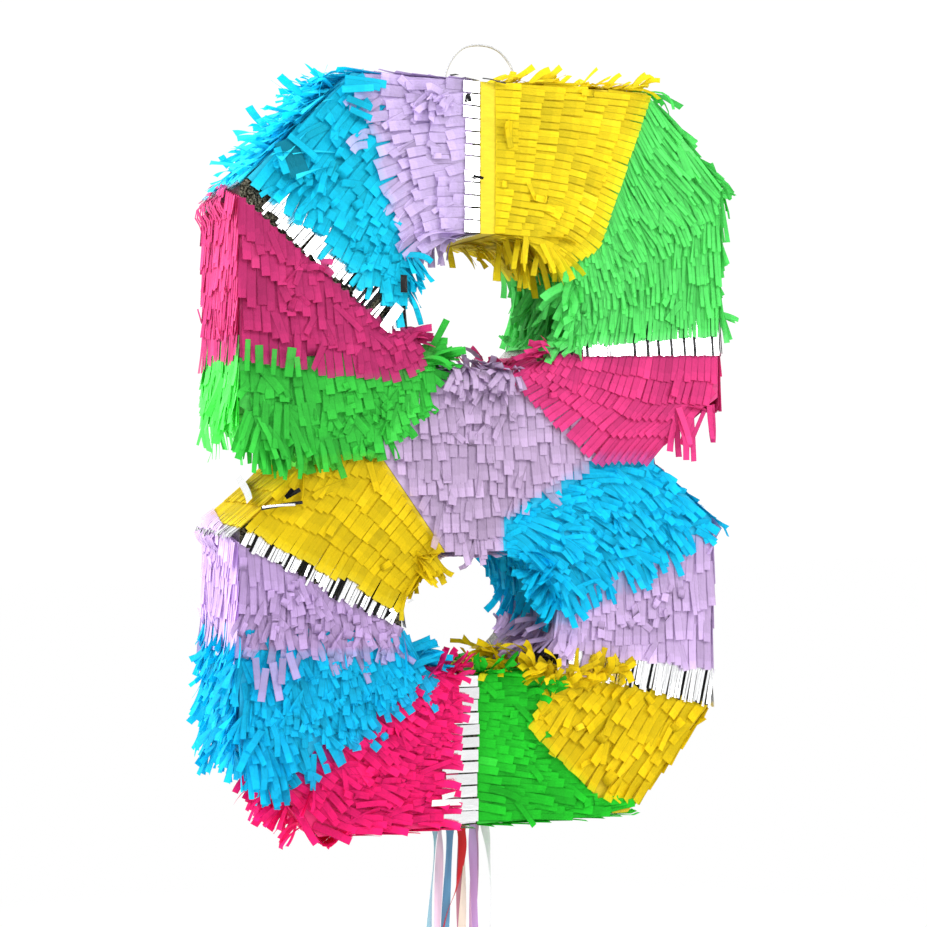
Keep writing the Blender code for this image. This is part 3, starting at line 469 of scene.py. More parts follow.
class Look:
    """The nodes of a material or world. An input is given as a value, or as the output that feeds it."""

    def __init__(self, owner):
        owner.use_nodes = True
        self.owner = owner
        self.nodes = owner.node_tree.nodes
        self.links = owner.node_tree.links

    def feed(self, node, inputs):
        for socket, value in inputs.items():
            if isinstance(value, bpy.types.NodeSocket):
                self.links.new(value, node.inputs[socket])
            else:
                node.inputs[socket].default_value = value

    def add(self, kind, output, inputs=None, **settings):
        """Adds a node, and gives one of its outputs."""
        node = self.nodes.new("ShaderNode" + kind)
        for name, value in settings.items():
            setattr(node, name, value)
        self.feed(node, inputs or {})
        return node.outputs[output]

    def attribute(self, name, output):
        return self.add("Attribute", output, attribute_name=name)

    def where(self):
        return self.add("TexCoord", "Object")

    def noise(self, vector, stretch, detail, rough):
        """Noise whose scale along each axis is stretch."""
        stretched = self.add("VectorMath", "Vector", {0: vector, 1: stretch}, operation="MULTIPLY")
        inputs = {"Vector": stretched, "Scale": 1, "Detail": detail, "Roughness": rough}
        return self.add("TexNoise", "Fac", inputs)

    def ranged(self, value, low, high, start=0.25, end=0.75, **settings):
        """From low to high, as the value goes from start to end."""
        inputs = {"Value": value, "From Min": start, "From Max": end, "To Min": low, "To Max": high}
        return self.add("MapRange", "Result", inputs, **settings)

    def product(self, a, b):
        return self.add("Math", "Value", {0: a, 1: b}, operation="MULTIPLY")

    def times(self, colour, value):
        """A colour made lighter or darker. A colour that is given as numbers gets its own node."""
        if isinstance(colour, tuple):
            paint = self.add("RGB", "Color")
            paint.default_value = (*colour, 1)
            colour = paint
        return self.add("VectorMath", "Vector", {0: colour, "Scale": value}, operation="SCALE")

    def bumped(self, height, strength, distance, under=None):
        inputs = {"Height": height, "Strength": strength, "Distance": distance}
        if under:
            inputs["Normal"] = under
        return self.add("Bump", "Normal", inputs)

    def mix(self, share, other):
        """Puts a share of another shader in the material's own."""
        own = self.nodes["Principled BSDF"].outputs["BSDF"]
        both = self.add("MixShader", "Shader", {"Fac": share, 1: own, 2: other})
        self.links.new(both, self.nodes["Material Output"].inputs["Surface"])

    def glow_through(self, share, colour, normal):
        """Lets a share of the light through the sheet."""
        self.mix(share, self.add("BsdfTranslucent", "BSDF", {"Color": colour, "Normal": normal}))

    def finish(self, base, rough, normal, more=None):
        """Sets the material's shader, and gives the material."""
        inputs = {"Base Color": base, "Roughness": rough, "Normal": normal}
        self.feed(self.nodes["Principled BSDF"], inputs | (more or {}))
        return self.owner


# Camera and light

FLOOR_REACH, FLOOR_Z = 6.0, -0.80
FADE_START, FADE_END = 0.9, 1.5  # how far from the object the floor starts to fade, and is white


def make_camera():
    data = bpy.data.cameras.new("camera")
    data.lens = 72.26
    data.sensor_width = 36
    data.shift_y = -0.0405
    camera = bpy.data.objects.new("camera", data)
    camera.location = (-0.3930, -1.0274, -0.2259)
    camera.rotation_euler = (math.radians(90), 0, math.radians(-20.41))
    bpy.context.scene.collection.objects.link(camera)
    bpy.context.scene.camera = camera


def make_softbox(name, place, size, power):
    data = bpy.data.lights.new(name, "AREA")
    data.shape = "SQUARE"
    data.size = size
    data.energy = power
    light = bpy.data.objects.new(name, data)
    bpy.context.scene.collection.objects.link(light)
    light.location = place
    aim = Vector((-0.010, 0, -0.26)) - Vector(place)
    light.rotation_euler = aim.to_track_quat("-Z", "Y").to_euler()
    light.visible_camera = False


def make_floor():
    """A pale floor that fades into the white beyond it."""
    mesh = bpy.data.meshes.new("floor")
    corners = [(-1, -1), (1, -1), (1, 1), (-1, 1)]
    mesh.from_pydata([(x * FLOOR_REACH, y * FLOOR_REACH, FLOOR_Z) for x, y in corners], [], [(0, 1, 2, 3)])
    floor = bpy.data.objects.new("floor", mesh)
    bpy.context.scene.collection.objects.link(floor)
    look = Look(bpy.data.materials.new("floor"))
    look.feed(look.nodes["Principled BSDF"], {"Base Color": (0.86, 0.86, 0.85, 1), "Roughness": 0.9})
    place = look.add("NewGeometry", "Position")
    far = look.add("VectorMath", "Value", {0: place}, operation="LENGTH")
    fade = look.ranged(far, 0, 1, FADE_START, FADE_END, interpolation_type="SMOOTHSTEP")
    look.mix(fade, look.add("Emission", "Emission"))
    mesh.materials.append(look.owner)


def make_studio():
    scene = bpy.context.scene
    scene.view_settings.view_transform = "Standard"
    scene.world = bpy.data.worlds.new("studio")
    look = Look(scene.world)
    # What the camera and the foil see is brighter than what lights the paper.
    level = look.ranged(look.add("LightPath", "Is Diffuse Ray"), 1.05, 0.62, 0, 1)
    look.feed(look.nodes["Background"], {"Color": (1, 1, 1, 1), "Strength": level})
    make_softbox("key", (-0.6, -1.5, 1.1), 0.8, 20)
    make_softbox("fill", (0.85, -0.95, 0.25), 0.8, 13)
    make_softbox("side", (-1.5, 0.25, 0.5), 1.8, 58)
    make_softbox("back", (0.6, 1.6, 0.6), 1.2, 16)
    make_floor()


# Lines in the plane of the 8


def hole_outline(low_x, high_x, low_z, high_z):
    cut = HOLE_CUT
    return (
        (low_x + cut, high_z), (high_x - cut, high_z), (high_x, high_z - cut), (high_x, low_z + cut),
        (high_x - cut, low_z), (low_x + cut, low_z), (low_x, low_z + cut), (low_x, high_z - cut),
    )


class Outline:
    """A closed line round the 8 or round a hole. air is 1 where the air is on its left, going clockwise."""

    def __init__(self, points, air):
        self.points = np.array(points)
        self.ends = np.roll(self.points, -1, axis=0)
        sides = np.linalg.norm(self.ends - self.points, axis=1)
        self.marks = np.concatenate([[0], np.cumsum(sides)])
        self.length = self.marks[-1]
        self.along = (self.ends - self.points) / sides[:, None]
        self.air = air

    def at(self, place):
        """Point, direction and outward direction at each distance round the line."""
        place = np.asarray(place) % self.length
        side = np.clip(np.searchsorted(self.marks, place, side="right") - 1, 0, len(self.points) - 1)
        along = self.along[side]
        point = self.points[side] + along * (place - self.marks[side])[..., None]
        return point, along, self.air * np.stack([-along[..., 1], along[..., 0]], axis=-1)

    def crossings(self, route):
        """Where a route crosses the line: (how far along the route, how far round the line) of each."""
        found, gone = [], 0.0
        for a, b in zip(route, route[1:]):
            step = b - a
            for i in range(len(self.points)):
                side = self.ends[i] - self.points[i]
                area = step[0] * side[1] - step[1] * side[0]
                if abs(area) < 1e-12:
                    continue
                off = self.points[i] - a
                t = (off[0] * side[1] - off[1] * side[0]) / area
                s = (off[0] * step[1] - off[1] * step[0]) / area
                if 0 <= t <= 1 and 0 <= s < 1:
                    length = np.linalg.norm(step)
                    found.append((gone + t * length, self.marks[i] + s * np.linalg.norm(side)))
            gone += np.linalg.norm(step)
        return sorted(found)

    def nearest(self, points):
        """Distance to the line, and the direction away from its nearest point."""
        off = points[:, None] - self.points[None]
        side = self.ends - self.points
        t = np.clip((off * side).sum(-1) / (side * side).sum(-1), 0, 1)
        away = off - t[..., None] * side
        far = np.linalg.norm(away, axis=-1)
        best = far.argmin(axis=1)
        rows = np.arange(len(points))
        return far[rows, best], away[rows, best]

    def holds(self, points):
        """Whether each point is inside the line."""
        x, z = points[:, :1], points[:, 1:]
        ax, az, bx, bz = self.points[:, 0], self.points[:, 1], self.ends[:, 0], self.ends[:, 1]
        cross = (az > z) != (bz > z)
        with np.errstate(divide="ignore", invalid="ignore"):
            at = ax + (z - az) / (bz - az) * (bx - ax)
        return ((cross & (x < at)).sum(axis=1) % 2).astype(bool)


OUTSIDE = Outline(np.array(OUTER) / MM, 1)
HOLES = [Outline(hole_outline(*UPPER_HOLE), -1), Outline(hole_outline(*LOWER_HOLE), -1)]


def clearance(points):
    """How far each 3D point is outside the 8, and the direction out of it. Negative is inside."""
    flat = points[:, [0, 2]]
    far, away = OUTSIDE.nearest(flat)
    inside = OUTSIDE.holds(flat)
    for hole in HOLES:
        hole_far, hole_away = hole.nearest(flat)
        nearer = hole_far < far
        far = np.where(nearer, hole_far, far)
        away = np.where(nearer[:, None], hole_away, away)
        inside &= ~hole.holds(flat)
    sign = np.where(inside, -1.0, 1.0)
    across = far * sign
    outward = away / np.maximum(far, 1e-9)[:, None] * sign[:, None]
    deep = np.abs(points[:, 1]) - HALF_DEPTH
    out = np.zeros_like(points)
    both = (across > 0) & (deep > 0)
    distance = np.where(both, np.hypot(across, deep), np.maximum(across, deep))
    by_face = ~both & (deep >= across)
    out[:, 1] = np.where(by_face, np.sign(points[:, 1]), 0)
    by_wall = ~both & ~by_face
    out[by_wall, 0], out[by_wall, 2] = outward[by_wall, 0], outward[by_wall, 1]
    if both.any():
        total = np.maximum(distance[both], 1e-9)
        out[both, 0] = outward[both, 0] * across[both] / total
        out[both, 2] = outward[both, 1] * across[both] / total
        out[both, 1] = np.sign(points[both, 1]) * deep[both] / total
    return distance, out


def joined(names):
    points = []
    for name in names:
        for point in SEAMS[name]:
            if not points or point != points[-1]:
                points.append(point)
    return [np.array(point) / MM for point in points]


class Seam:
    """A seam cut to the paper: from where it leaves its hole to where it leaves the 8."""

    def __init__(self, names):
        route = joined(names)
        steps = [np.linalg.norm(b - a) for a, b in zip(route, route[1:])]
        marks = np.concatenate([[0], np.cumsum(steps)])
        leaves = [(i, hole.crossings(route)) for i, hole in enumerate(HOLES)]
        self.hole, (start, self.hole_place) = next((i, found[-1]) for i, found in leaves if found)
        end, self.outer_place = OUTSIDE.crossings(route)[0]
        self.line = np.array(route)
        self.marks, self.start, self.end = marks, start, end

    def at(self, u):
        place = self.start + np.asarray(u) * (self.end - self.start)
        return np.stack([np.interp(place, self.marks, self.line[:, i]) for i in (0, 1)], axis=-1)


def shortest(start, end, total):
    return (end - start + total / 2) % total - total / 2


class Block:
    """The rows of a block, as lines that turn from its first seam, at t 0, to its last, at t 1."""

    def __init__(self, start, end):
        self.first, self.last = Seam(start), Seam(end)
        self.hole = HOLES[self.first.hole]
        self.outer_start = self.first.outer_place
        self.outer_run = shortest(self.outer_start, self.last.outer_place, OUTSIDE.length)
        self.hole_start = self.first.hole_place
        self.hole_run = shortest(self.hole_start, self.last.hole_place, self.hole.length)

    def at(self, t, u):
        t, u = np.asarray(t, float), np.asarray(u, float)
        straight = self.first.at(u) * (1 - t)[..., None] + self.last.at(u) * t[..., None]
        zero, one = np.zeros_like(u), np.ones_like(u)
        inner = self.first.at(zero) * (1 - t)[..., None] + self.last.at(zero) * t[..., None]
        outer = self.first.at(one) * (1 - t)[..., None] + self.last.at(one) * t[..., None]
        held = np.clip(t, 0, 1)
        inner_fix = self.hole.at(self.hole_start + self.hole_run * held)[0] - inner
        outer_fix = OUTSIDE.at(self.outer_start + self.outer_run * held)[0] - outer
        inside = ((t >= 0) & (t <= 1))[..., None]
        fixed = straight + inner_fix * (1 - u)[..., None] + outer_fix * u[..., None]
        return np.where(inside, fixed, straight)

    def run(self, u):
        """How far it is from the first seam to the last, at each place across the rows."""
        steps = np.linspace(0, 1, 9)
        line = self.at(steps[:, None] + 0 * u[None], u[None] + 0 * steps[:, None])
        return np.linalg.norm(np.diff(line, axis=0), axis=-1).sum(axis=0)


# Flaps

SEGMENTS = 6
VISIBLE = 0.006  # a flap that passes a panel's edge by less than this is cut off there
AHEAD, STOP_SHORT = 0.006, 0.003  # a flap whose end is this near a panel stops this far short of it
SHORTEST = 0.0035  # a flap left shorter than this is dropped
NARROWEST = 0.0012
ROOT_RISE, TIP_RISE = 0.0005, 0.0020
CUT_GAP = 0.0006
CORNER = 0.0012  # how far the rows on a wall reach past the front and the back
FURTHEST = np.array([0.158, HALF_DEPTH + 0.0095, HALF_HEIGHT + 0.016])  # no flap reaches past this
# The two panels that open: the body, its lowest and highest corners, and the axis along which flaps are
# moved off its side edges.
PANELS = (
    ("trapdoor", (TRAPDOOR[0], TRAPDOOR[2], -1), (TRAPDOOR[1], TRAPDOOR[3], -HALF_HEIGHT + 0.002), 1),
    ("fill_flap", (FILL_FLAP[0], HALF_DEPTH - 0.002, FILL_FLAP[2]), (FILL_FLAP[1], 1, FILL_FLAP[3]), 2),
)
FREE_FROM = 0.35  # where along its length a flap starts to lift and hang
FOLD_FROM = 0.72  # where a folded one turns back
LEAST_ARCH, MORE_ARCH = 0.01, 0.09  # how far a flap's middle stands out, as shares of half its width
SEED_SPREAD = 97  # keeps the grain of one flap apart from the next


def through_box(root, way, low, high):
    """The shares of each straight line at which it enters and leaves a box, in order only if it meets it."""
    safe = np.where(np.abs(way) < 1e-9, 1e-9, way)
    a, b = (low - root) / safe, (high - root) / safe
    return np.minimum(a, b).max(axis=1), np.maximum(a, b).min(axis=1)


def cut_at_panels(root, along, length, width):
    """Cuts the flaps at the panels' edges. Gives their roots, lengths and which panel each is on, or -1."""
    on = np.full(len(root), -1)
    for number, (_, low, high, cross) in enumerate(PANELS):
        low, high = np.array(low, float), np.array(high, float)
        half = width / 2 + CUT_GAP
        side = root[:, cross]
        within = (side > low[cross]) & (side < high[cross])
        enters, leaves = through_box(root, along * length[:, None], low - 0.001, high + 0.001)
        meets = (enters < leaves) & (leaves > 0) & (enters < 1)
        moved = np.where(within, np.clip(side, low[cross] + half, high[cross] - half), side)
        outer_low, outer_high = low[cross] - half, high[cross] + half
        crowding = ~within & (side > outer_low) & (side < outer_high)
        nearer = np.where(side < (low[cross] + high[cross]) / 2, outer_low, outer_high)
        moved = np.where(crowding, nearer, moved)
        root = root.copy()
        root[:, cross] = np.where(meets, moved, side)
        enters, leaves = through_box(root, along * length[:, None], low + CUT_GAP, high - CUT_GAP)
        meets = (enters < leaves) & (leaves > 0) & (enters < 1)
        enters, leaves = np.clip(enters, 0, 1), np.clip(leaves, 0, 1)
        panel = meets & ((1 - leaves) * length < VISIBLE)
        past = meets & ~panel
        start = np.where(panel, enters, np.where(past, leaves + 2 * CUT_GAP / length, 0))
        stop = np.where(panel, leaves, 1)
        root = root + along * (start * length)[:, None]
        length = (stop - start) * length
        on[panel] = number
        # A flap of the shell that points at a panel stops short of it.
        reach, gone = through_box(root, along * (length + AHEAD)[:, None], low - CUT_GAP, high + CUT_GAP)
        ahead = (on < 0) & (reach < gone) & (reach > 0) & (reach < 1)
        length = np.where(ahead, np.minimum(length, reach * (length + AHEAD) - STOP_SHORT), length)
    return root, length, on


def sparse(dark, chance):
    """Thins out runs of neighbouring dark flaps."""
    after = dark & np.roll(dark, 1)
    return dark & ~(after & (chance < 0.75))


class Flaps:
    """Flaps waiting to be laid: roots, directions and surface normals, and how each one behaves."""

    def __init__(self, seed):
        self.parts = []
        self.rng = np.random.default_rng(seed)

    def clumps(self, count, often):
        """Numbers the flaps of a row so that neighbours that stay together share a number."""
        joins = self.rng.random(count) < often
        joins[0] = False
        return np.cumsum(~joins) - 1

    def add(
        self, root, along, normal, length, width, style,
        group=None, lift=0.0, tip_lift=0.0, trim=1.0, dark=0.0, tone=1.0,
    ):
        """Adds a flap at each root. The rest is given for each flap, or once for all."""
        n = len(root)
        gap, swing, curl, spread, twist, uneven, loose, hug, folded, soft = LIES[style]
        along = np.broadcast_to(np.array(along, float), (n, 3))
        normal = np.broadcast_to(np.array(normal, float), (n, 3))
        group = np.arange(n) if group is None else group
        shared = self.rng.standard_normal((group.max() + 1, 5))[group]
        own = self.rng.standard_normal((n, 5))
        chance = self.rng.random((n, 3))
        turn = trim * np.radians(swing) * (0.85 * shared[:, 0] + 0.40 * own[:, 0])
        rise = np.radians(curl + spread * (0.85 * shared[:, 1] + 0.45 * own[:, 1]))
        across = np.cross(normal, along)
        along = along * np.cos(turn)[:, None] + across * np.sin(turn)[:, None]
        length = length + trim * uneven * (0.9 * shared[:, 3] + 0.35 * own[:, 3])
        root, length, on = cut_at_panels(root, along, length, width)
        kept = length > SHORTEST
        made = dict(
            root=root,
            along=along,
            normal=normal,
            length=length,
            width=np.maximum(width * (1 + 0.05 * own[:, 1]) - gap, NARROWEST),
            curl=np.clip(rise, -0.03, 1.5),
            loose=loose * np.clip(1 + 0.6 * shared[:, 2] + 0.2 * own[:, 2], 0, 3),
            twist=np.radians(twist) * (0.6 * own[:, 2] + 0.8 * shared[:, 0]),
            hug=hug,
            folded=chance[:, 0] < folded,
            tone=tone * (1 + 0.075 * shared[:, 4] + 0.055 * own[:, 4]),
            soft=soft,
            lift=lift,
            tip_lift=tip_lift,
            seed=chance[:, 1],
            dark=sparse(chance[:, 2] < dark, chance[:, 1]),
            on=on,
        )
        each = {key: value if np.ndim(value) else np.full(n, value) for key, value in made.items()}
        self.parts.append({key: value[kept] for key, value in each.items()})

    def all(self):
        return {key: np.concatenate([part[key] for part in self.parts]) for key in self.parts[0]}


def unit(vectors):
    return vectors / np.maximum(np.linalg.norm(vectors, axis=-1, keepdims=True), 1e-9)


def lay(flaps):
    """Lets every flap out from its root, segment by segment: along its row's flow, lifted by its curl, drawn
    down by its weight, bent round the 8's corners and kept off its surface."""
    heading, normal = flaps["along"].copy(), flaps["normal"].copy()
    step = (flaps["length"] / SEGMENTS)[:, None]
    place = flaps["root"] + normal * (ROOT_RISE + flaps["lift"])[:, None]
    line = [place]
    down = np.array([0, 0, -1.0])
    for k in range(1, SEGMENTS + 1):
        s = k / SEGMENTS
        free = max(0.0, (s - FREE_FROM) / (1 - FREE_FROM))
        lift = (flaps["curl"] * free**1.2)[:, None]
        distance, out = clearance(place)
        stray = np.clip((distance - 0.0025) / 0.004, 0, 1) * flaps["hug"]
        way = heading * np.cos(lift) + normal * np.sin(lift)
        way = way + down * (flaps["loose"] * free**1.2)[:, None] - out * (1.1 * stray)[:, None]
        back = (flaps["folded"] & (s > FOLD_FROM))[:, None]
        way = unit(np.where(back, -heading + 0.35 * normal, way))
        there = place + way * step
        distance, out = clearance(there)
        raised = flaps["lift"] + flaps["tip_lift"] * max(0.0, 2 * s - 1)
        need = ROOT_RISE + (TIP_RISE - ROOT_RISE) * s + raised
        push = np.maximum(need - distance, 0)[:, None]
        there = np.clip(there + out * push, -FURTHEST, FURTHEST)
        there = np.clip(place + unit(there - place) * step, -FURTHEST, FURTHEST)
        turned = (push > 1e-5) | (stray > 0.02)[:, None]
        heading = unit(np.where(turned & ~back, there - place, heading))
        normal = unit(normal - heading * (normal * heading).sum(axis=1, keepdims=True))
        place = there
        line.append(place)
    line = np.stack(line, axis=1)
    # A flap on a panel stays inside the panel's edges, so that it can't cross them when the panel opens.
    for number, (_, low, high, cross) in enumerate(PANELS):
        mine = flaps["on"] == number
        if mine.any():
            half = flaps["width"][mine, None] / 2 + CUT_GAP / 2
            line[mine, :, 0] = np.clip(line[mine, :, 0], low[0] + CUT_GAP / 2, high[0] - CUT_GAP / 2)
            line[mine, :, cross] = np.clip(line[mine, :, cross], low[cross] + half, high[cross] - half)
    return line


def strip_mesh(name, flaps, lines, paint_of):
    """Each flap as one thin sheet, arched a little across its width. grain is the distance in millimetres
    from its tip and from its middle line, and a number of its own. edge is that from its nearer side, which
    the material turns into painted shade along the sides."""
    n, rings = lines.shape[:2]
    tangent = unit(np.gradient(lines, axis=1))
    first = np.cross(flaps["normal"], flaps["along"])[:, None]
    across = unit(first - tangent * (first * tangent).sum(-1, keepdims=True))
    normal = np.cross(tangent, across)
    s = np.linspace(0, 1, rings)[None, :, None]
    turn = flaps["twist"][:, None, None] * s**1.5
    cos, sin = np.cos(turn), np.sin(turn)
    across, normal = across * cos + normal * sin, normal * cos - across * sin
    half = flaps["width"][:, None, None] / 2
    arch = (LEAST_ARCH + MORE_ARCH * flaps["seed"])[:, None, None] * half * (0.4 + 0.6 * s)
    points = np.stack([lines - across * half, lines + normal * arch, lines + across * half], axis=2)
    points = points.reshape(-1, 3)

    ring = np.arange(rings - 1)[:, None] * 3
    one = (ring[:, :, None] + np.array([[0, 1, 4, 3], [1, 2, 5, 4]])[None]).reshape(-1, 4)
    faces = (np.arange(n)[:, None, None] * rings * 3 + one[None]).reshape(-1, 4)
    mesh = mesh_of(name, points + CENTRE, faces)

    paint = np.ones((len(points), 4))
    paint[:, :3] = paint_of(points, np.repeat(np.arange(n), rings * 3))
    set_attribute(mesh, "paint", "FLOAT_COLOR", paint)
    grain = np.zeros((n, rings, 3, 3))
    grain[..., 0] = flaps["length"][:, None, None] * (1 - s) * MM
    grain[..., 1] = np.array([-0.5, 0, 0.5]) * flaps["width"][:, None, None] * MM
    grain[..., 2] = flaps["seed"][:, None, None] * SEED_SPREAD
    set_attribute(mesh, "grain", "FLOAT_VECTOR", grain)
    edge = np.zeros((n, rings, 3))
    edge[...] = flaps["soft"][:, None, None] * MM
    edge[..., 1] += flaps["width"][:, None] / 2 * MM
    set_attribute(mesh, "edge", "FLOAT", edge)
    return mesh


def set_attribute(mesh, name, kind, values):
    """Stores a number, vector or colour for each point of a mesh."""
    field = {"FLOAT": "value", "FLOAT_VECTOR": "vector", "FLOAT_COLOR": "color"}[kind]
    mesh.attributes.new(name, kind, "POINT").data.foreach_set(field, values.astype(np.float32).ravel())


def mesh_of(name, points, faces):
    mesh = bpy.data.meshes.new(name)
    faces = np.asarray(faces)
    mesh.vertices.add(len(points))
    mesh.vertices.foreach_set("co", np.asarray(points, np.float32).ravel())
    mesh.loops.add(faces.size)
    mesh.loops.foreach_set("vertex_index", faces.astype(np.int32).ravel())
    mesh.polygons.add(len(faces))
    mesh.polygons.foreach_set("loop_start", np.arange(len(faces), dtype=np.int32) * faces.shape[1])
    mesh.update(calc_edges=True)
    mesh.shade_smooth()
    return mesh


# Colour of the paper, which lets the next block show through where it hangs over it

# Painted light: a tone past PALE_FROM, which is mostly that of flaps brightened on the outer walls, also
# mixes in white, as paper looks where the lamps fall on it.
PALE_FROM = 1.15
PALER = 0.10  # how much white a paper takes on as its tone passes PALE_FROM
SHOW_THROUGH = 0.30
NEAR, FAR = 0.003, 0.009  # what lies this far under a flap shows through fully, and not at all
# Painted reflection: foil flaps marked dark are painted this near-black, where foil would mirror something
# dark.
DARK_FOIL = 0.016


def colour_map():
    """Each block's region on the front, as an outline and its paint."""
    regions = []
    for row in BLOCKS.values():
        points = [*joined(row["start"]), *reversed(joined(row["end"]))]
        regions.append((Outline(points, 1), PAINT[row["colour"]]))
    return regions


REGIONS = colour_map()


def painter(block, flaps):
    """Gives a function from the points of a piece, and the flap that each is on, to their paint."""
    # The block's shade is partly painted shade, where its faces are darker in their light.
    base = np.array(PAINT[block["colour"]]) * np.array(block["shade"])

    def tissue_paint(points, index):
        tone = flaps["tone"][index][:, None]
        made = base * tone + PALER * np.clip(tone - PALE_FROM, 0, 1)
        flat = points[:, [0, 2]]
        under = np.tile(base, (len(points), 1))
        for region, below in REGIONS:
            if below != PAINT[block["colour"]]:
                under[region.holds(flat)] = below
        near = np.clip(1 - (clearance(points)[0] - NEAR) / (FAR - NEAR), 0, 1)[:, None]
        differs = np.abs(under - base).sum(axis=1, keepdims=True) > 0.02
        show = np.where(differs, SHOW_THROUGH, 0.0) * near
        return np.clip(made * (1 - show) + np.sqrt(np.clip(made * under, 0, 1)) * show, 0, 1)

    def foil_paint(points, index):
        # Dark flaps, and pieces with a tone near 0, get a painted reflection of something dark.
        bright = np.minimum(flaps["tone"][index], 1.0)
        return base * np.where(flaps["dark"][index], DARK_FOIL, bright)[:, None]

    return foil_paint if block["colour"] == "foil" else tissue_paint


# Materials


def tissue(colour):
    """Crepe tissue: fine creases along each flap, softer crumples across it, a tip of one layer only, and
    painted shade along each flap's sides, where the slits between flaps are.
    """
    look = Look(bpy.data.materials.new("tissue_" + colour))
    grain = look.attribute("grain", "Vector")
    creases = look.noise(grain, (0.05, 1.6, 1), 3, 0.6)
    crumples = look.noise(grain, (0.25, 0.30, 1), 2, 0.5)
    layers = look.ranged(look.add("SeparateXYZ", "X", {"Vector": grain}), 1, 0.90, 4.6, 5.6)
    # Painted shade: each flap is darkened towards its sides, where the slits between neighbours are in shade.
    side_shade = look.ranged(look.attribute("edge", "Fac"), 0.66, 1, 0.05, 0.42)
    shade = look.product(look.ranged(creases, 0.93, 1.06), look.product(layers, side_shade))
    seen = look.times(look.attribute("paint", "Color"), shade)
    rough = look.bumped(creases, 0.4, 0.0003, look.bumped(crumples, 0.7, 0.0012))
    look.glow_through(0.32, seen, rough)
    return look.finish(seen, 0.70, rough, {"Specular IOR Level": 0.16})


def foil_fringe():
    """Silver film, mirror-like and lightly crinkled."""
    look = Look(bpy.data.materials.new("foil_fringe"))
    crinkle = look.noise(look.attribute("grain", "Vector"), (0.18, 0.5, 1), 3, 0.6)
    seen = look.times(look.attribute("paint", "Color"), look.ranged(crinkle, 0.93, 1.03))
    return look.finish(seen, 0.24, look.bumped(crinkle, 0.35, 0.0006), {"Metallic": 1})


def grained(name, colour, stretch, detail, noise_rough, tones, bump, rough, span=(0.25, 0.75), more=None):
    """A material of one colour with one grain: its stretch and detail, the tones at its low and high ends and
    where in the grain they are reached, and its bump's strength and depth."""
    look = Look(bpy.data.materials.new(name))
    grain = look.noise(look.where(), stretch, detail, noise_rough)
    seen = look.times(colour, look.ranged(grain, *tones, *span))
    return look.finish(seen, rough, look.bumped(grain, *bump), more)


def tissue_base(name, colour):
    """The glued, uncut base of the fringe: flat paper with fine creases, darkened as painted shade to 0.70 to
    0.86 of its colour, since it shows mostly in the gaps under the flaps.
    """
    return grained("tissue_base_" + name, colour, (120, 120, 420), 4, 0.6, (0.70, 0.86), (0.5, 0.0006), 0.75)


def foil_base():
    """The crumpled film under the foil fringe, painted near-black as painted shade in the slits between the
    foil flaps and as a painted reflection of the dark gaps around it, with light specks as painted glints.
    """
    colour, stretch = (0.024, 0.022, 0.016), (700, 700, 700)
    shine = {"Metallic": 1}
    return grained("foil_base", colour, stretch, 4, 0.8, (0.2, 7), (0.7, 0.0008), 0.28, (0.46, 0.66), shine)


def kraft_tape():
    colour, stretch = (0.56, 0.39, 0.22), (1200, 300, 300)
    return grained("kraft_tape", colour, stretch, 4, 0.6, (0.88, 1.10), (0.25, 0.0002), 0.55)


def clear_tape():
    """A glossy film over white specks and small trapped bubbles."""
    colour, stretch = (0.80, 0.81, 0.83), (700, 700, 700)
    tones, span, gloss = (1.05, 0.62), (0.50, 0.68), {"Coat Weight": 0.6}
    return grained("clear_tape", colour, stretch, 3, 0.7, tones, (0.3, 0.0003), 0.12, span, gloss)


def board():
    """Corrugated card: fibres, faint flutes and small specks."""
    look = Look(bpy.data.materials.new("board"))
    where = look.where()
    fibres = look.noise(where, (260, 260, 1400), 5, 0.65)
    specks = look.noise(where, (900, 900, 900), 2, 0.6)
    shade = look.product(look.ranged(fibres, 0.86, 1.10), look.ranged(specks, 0.94, 1.04))
    flutes = look.add("TexWave", "Fac", {"Vector": where, "Scale": 48})
    rough = look.bumped(fibres, 0.3, 0.0002, look.bumped(flutes, 0.12, 0.0004))
    return look.finish(look.times((0.44, 0.29, 0.165), shade), 0.9, rough)


def twisted_cord():
    """Thin white string of two twisted strands."""
    look = Look(bpy.data.materials.new("twisted_cord"))
    strands = look.add("TexWave", "Fac", {"Vector": look.where(), "Scale": 260}, bands_direction="DIAGONAL")
    seen = look.times((0.49, 0.50, 0.52), look.ranged(strands, 0.86, 1.02))
    return look.finish(seen, 0.6, look.bumped(strands, 0.25, 0.0003))


def satin(name, colour):
    """Curling ribbon: smooth film with fine ribs along its length."""
    look = Look(bpy.data.materials.new(name))
    ribs = look.noise(look.attribute("grain", "Vector"), (0.02, 3, 1), 2, 0.5)
    seen = look.times(colour, look.ranged(ribs, 0.92, 1.05))
    ribbed = look.bumped(ribs, 0.35, 0.0002)
    look.glow_through(0.10, seen, ribbed)
    return look.finish(seen, 0.40, ribbed, {"Specular IOR Level": 0.25})


# The loop and the ribbons


def smooth_line(points, steps):
    """Points along a Catmull-Rom curve through the given ones."""
    points = np.array(points, float)
    padded = np.vstack([2 * points[0] - points[1], points, 2 * points[-1] - points[-2]])
    place = np.linspace(0, len(points) - 1, steps + 1)
    i = np.minimum(place.astype(int), len(points) - 2)
    t = (place - i)[:, None]
    a, b, c, d = (padded[i + k] for k in range(4))
    return 0.5 * (2 * b + (c - a) * t + (2 * a - 5 * b + 4 * c - d) * t**2 + (3 * b - a - 3 * c + d) * t**3)


def run_of(line):
    return float(np.linalg.norm(np.diff(line, axis=0), axis=1).sum())


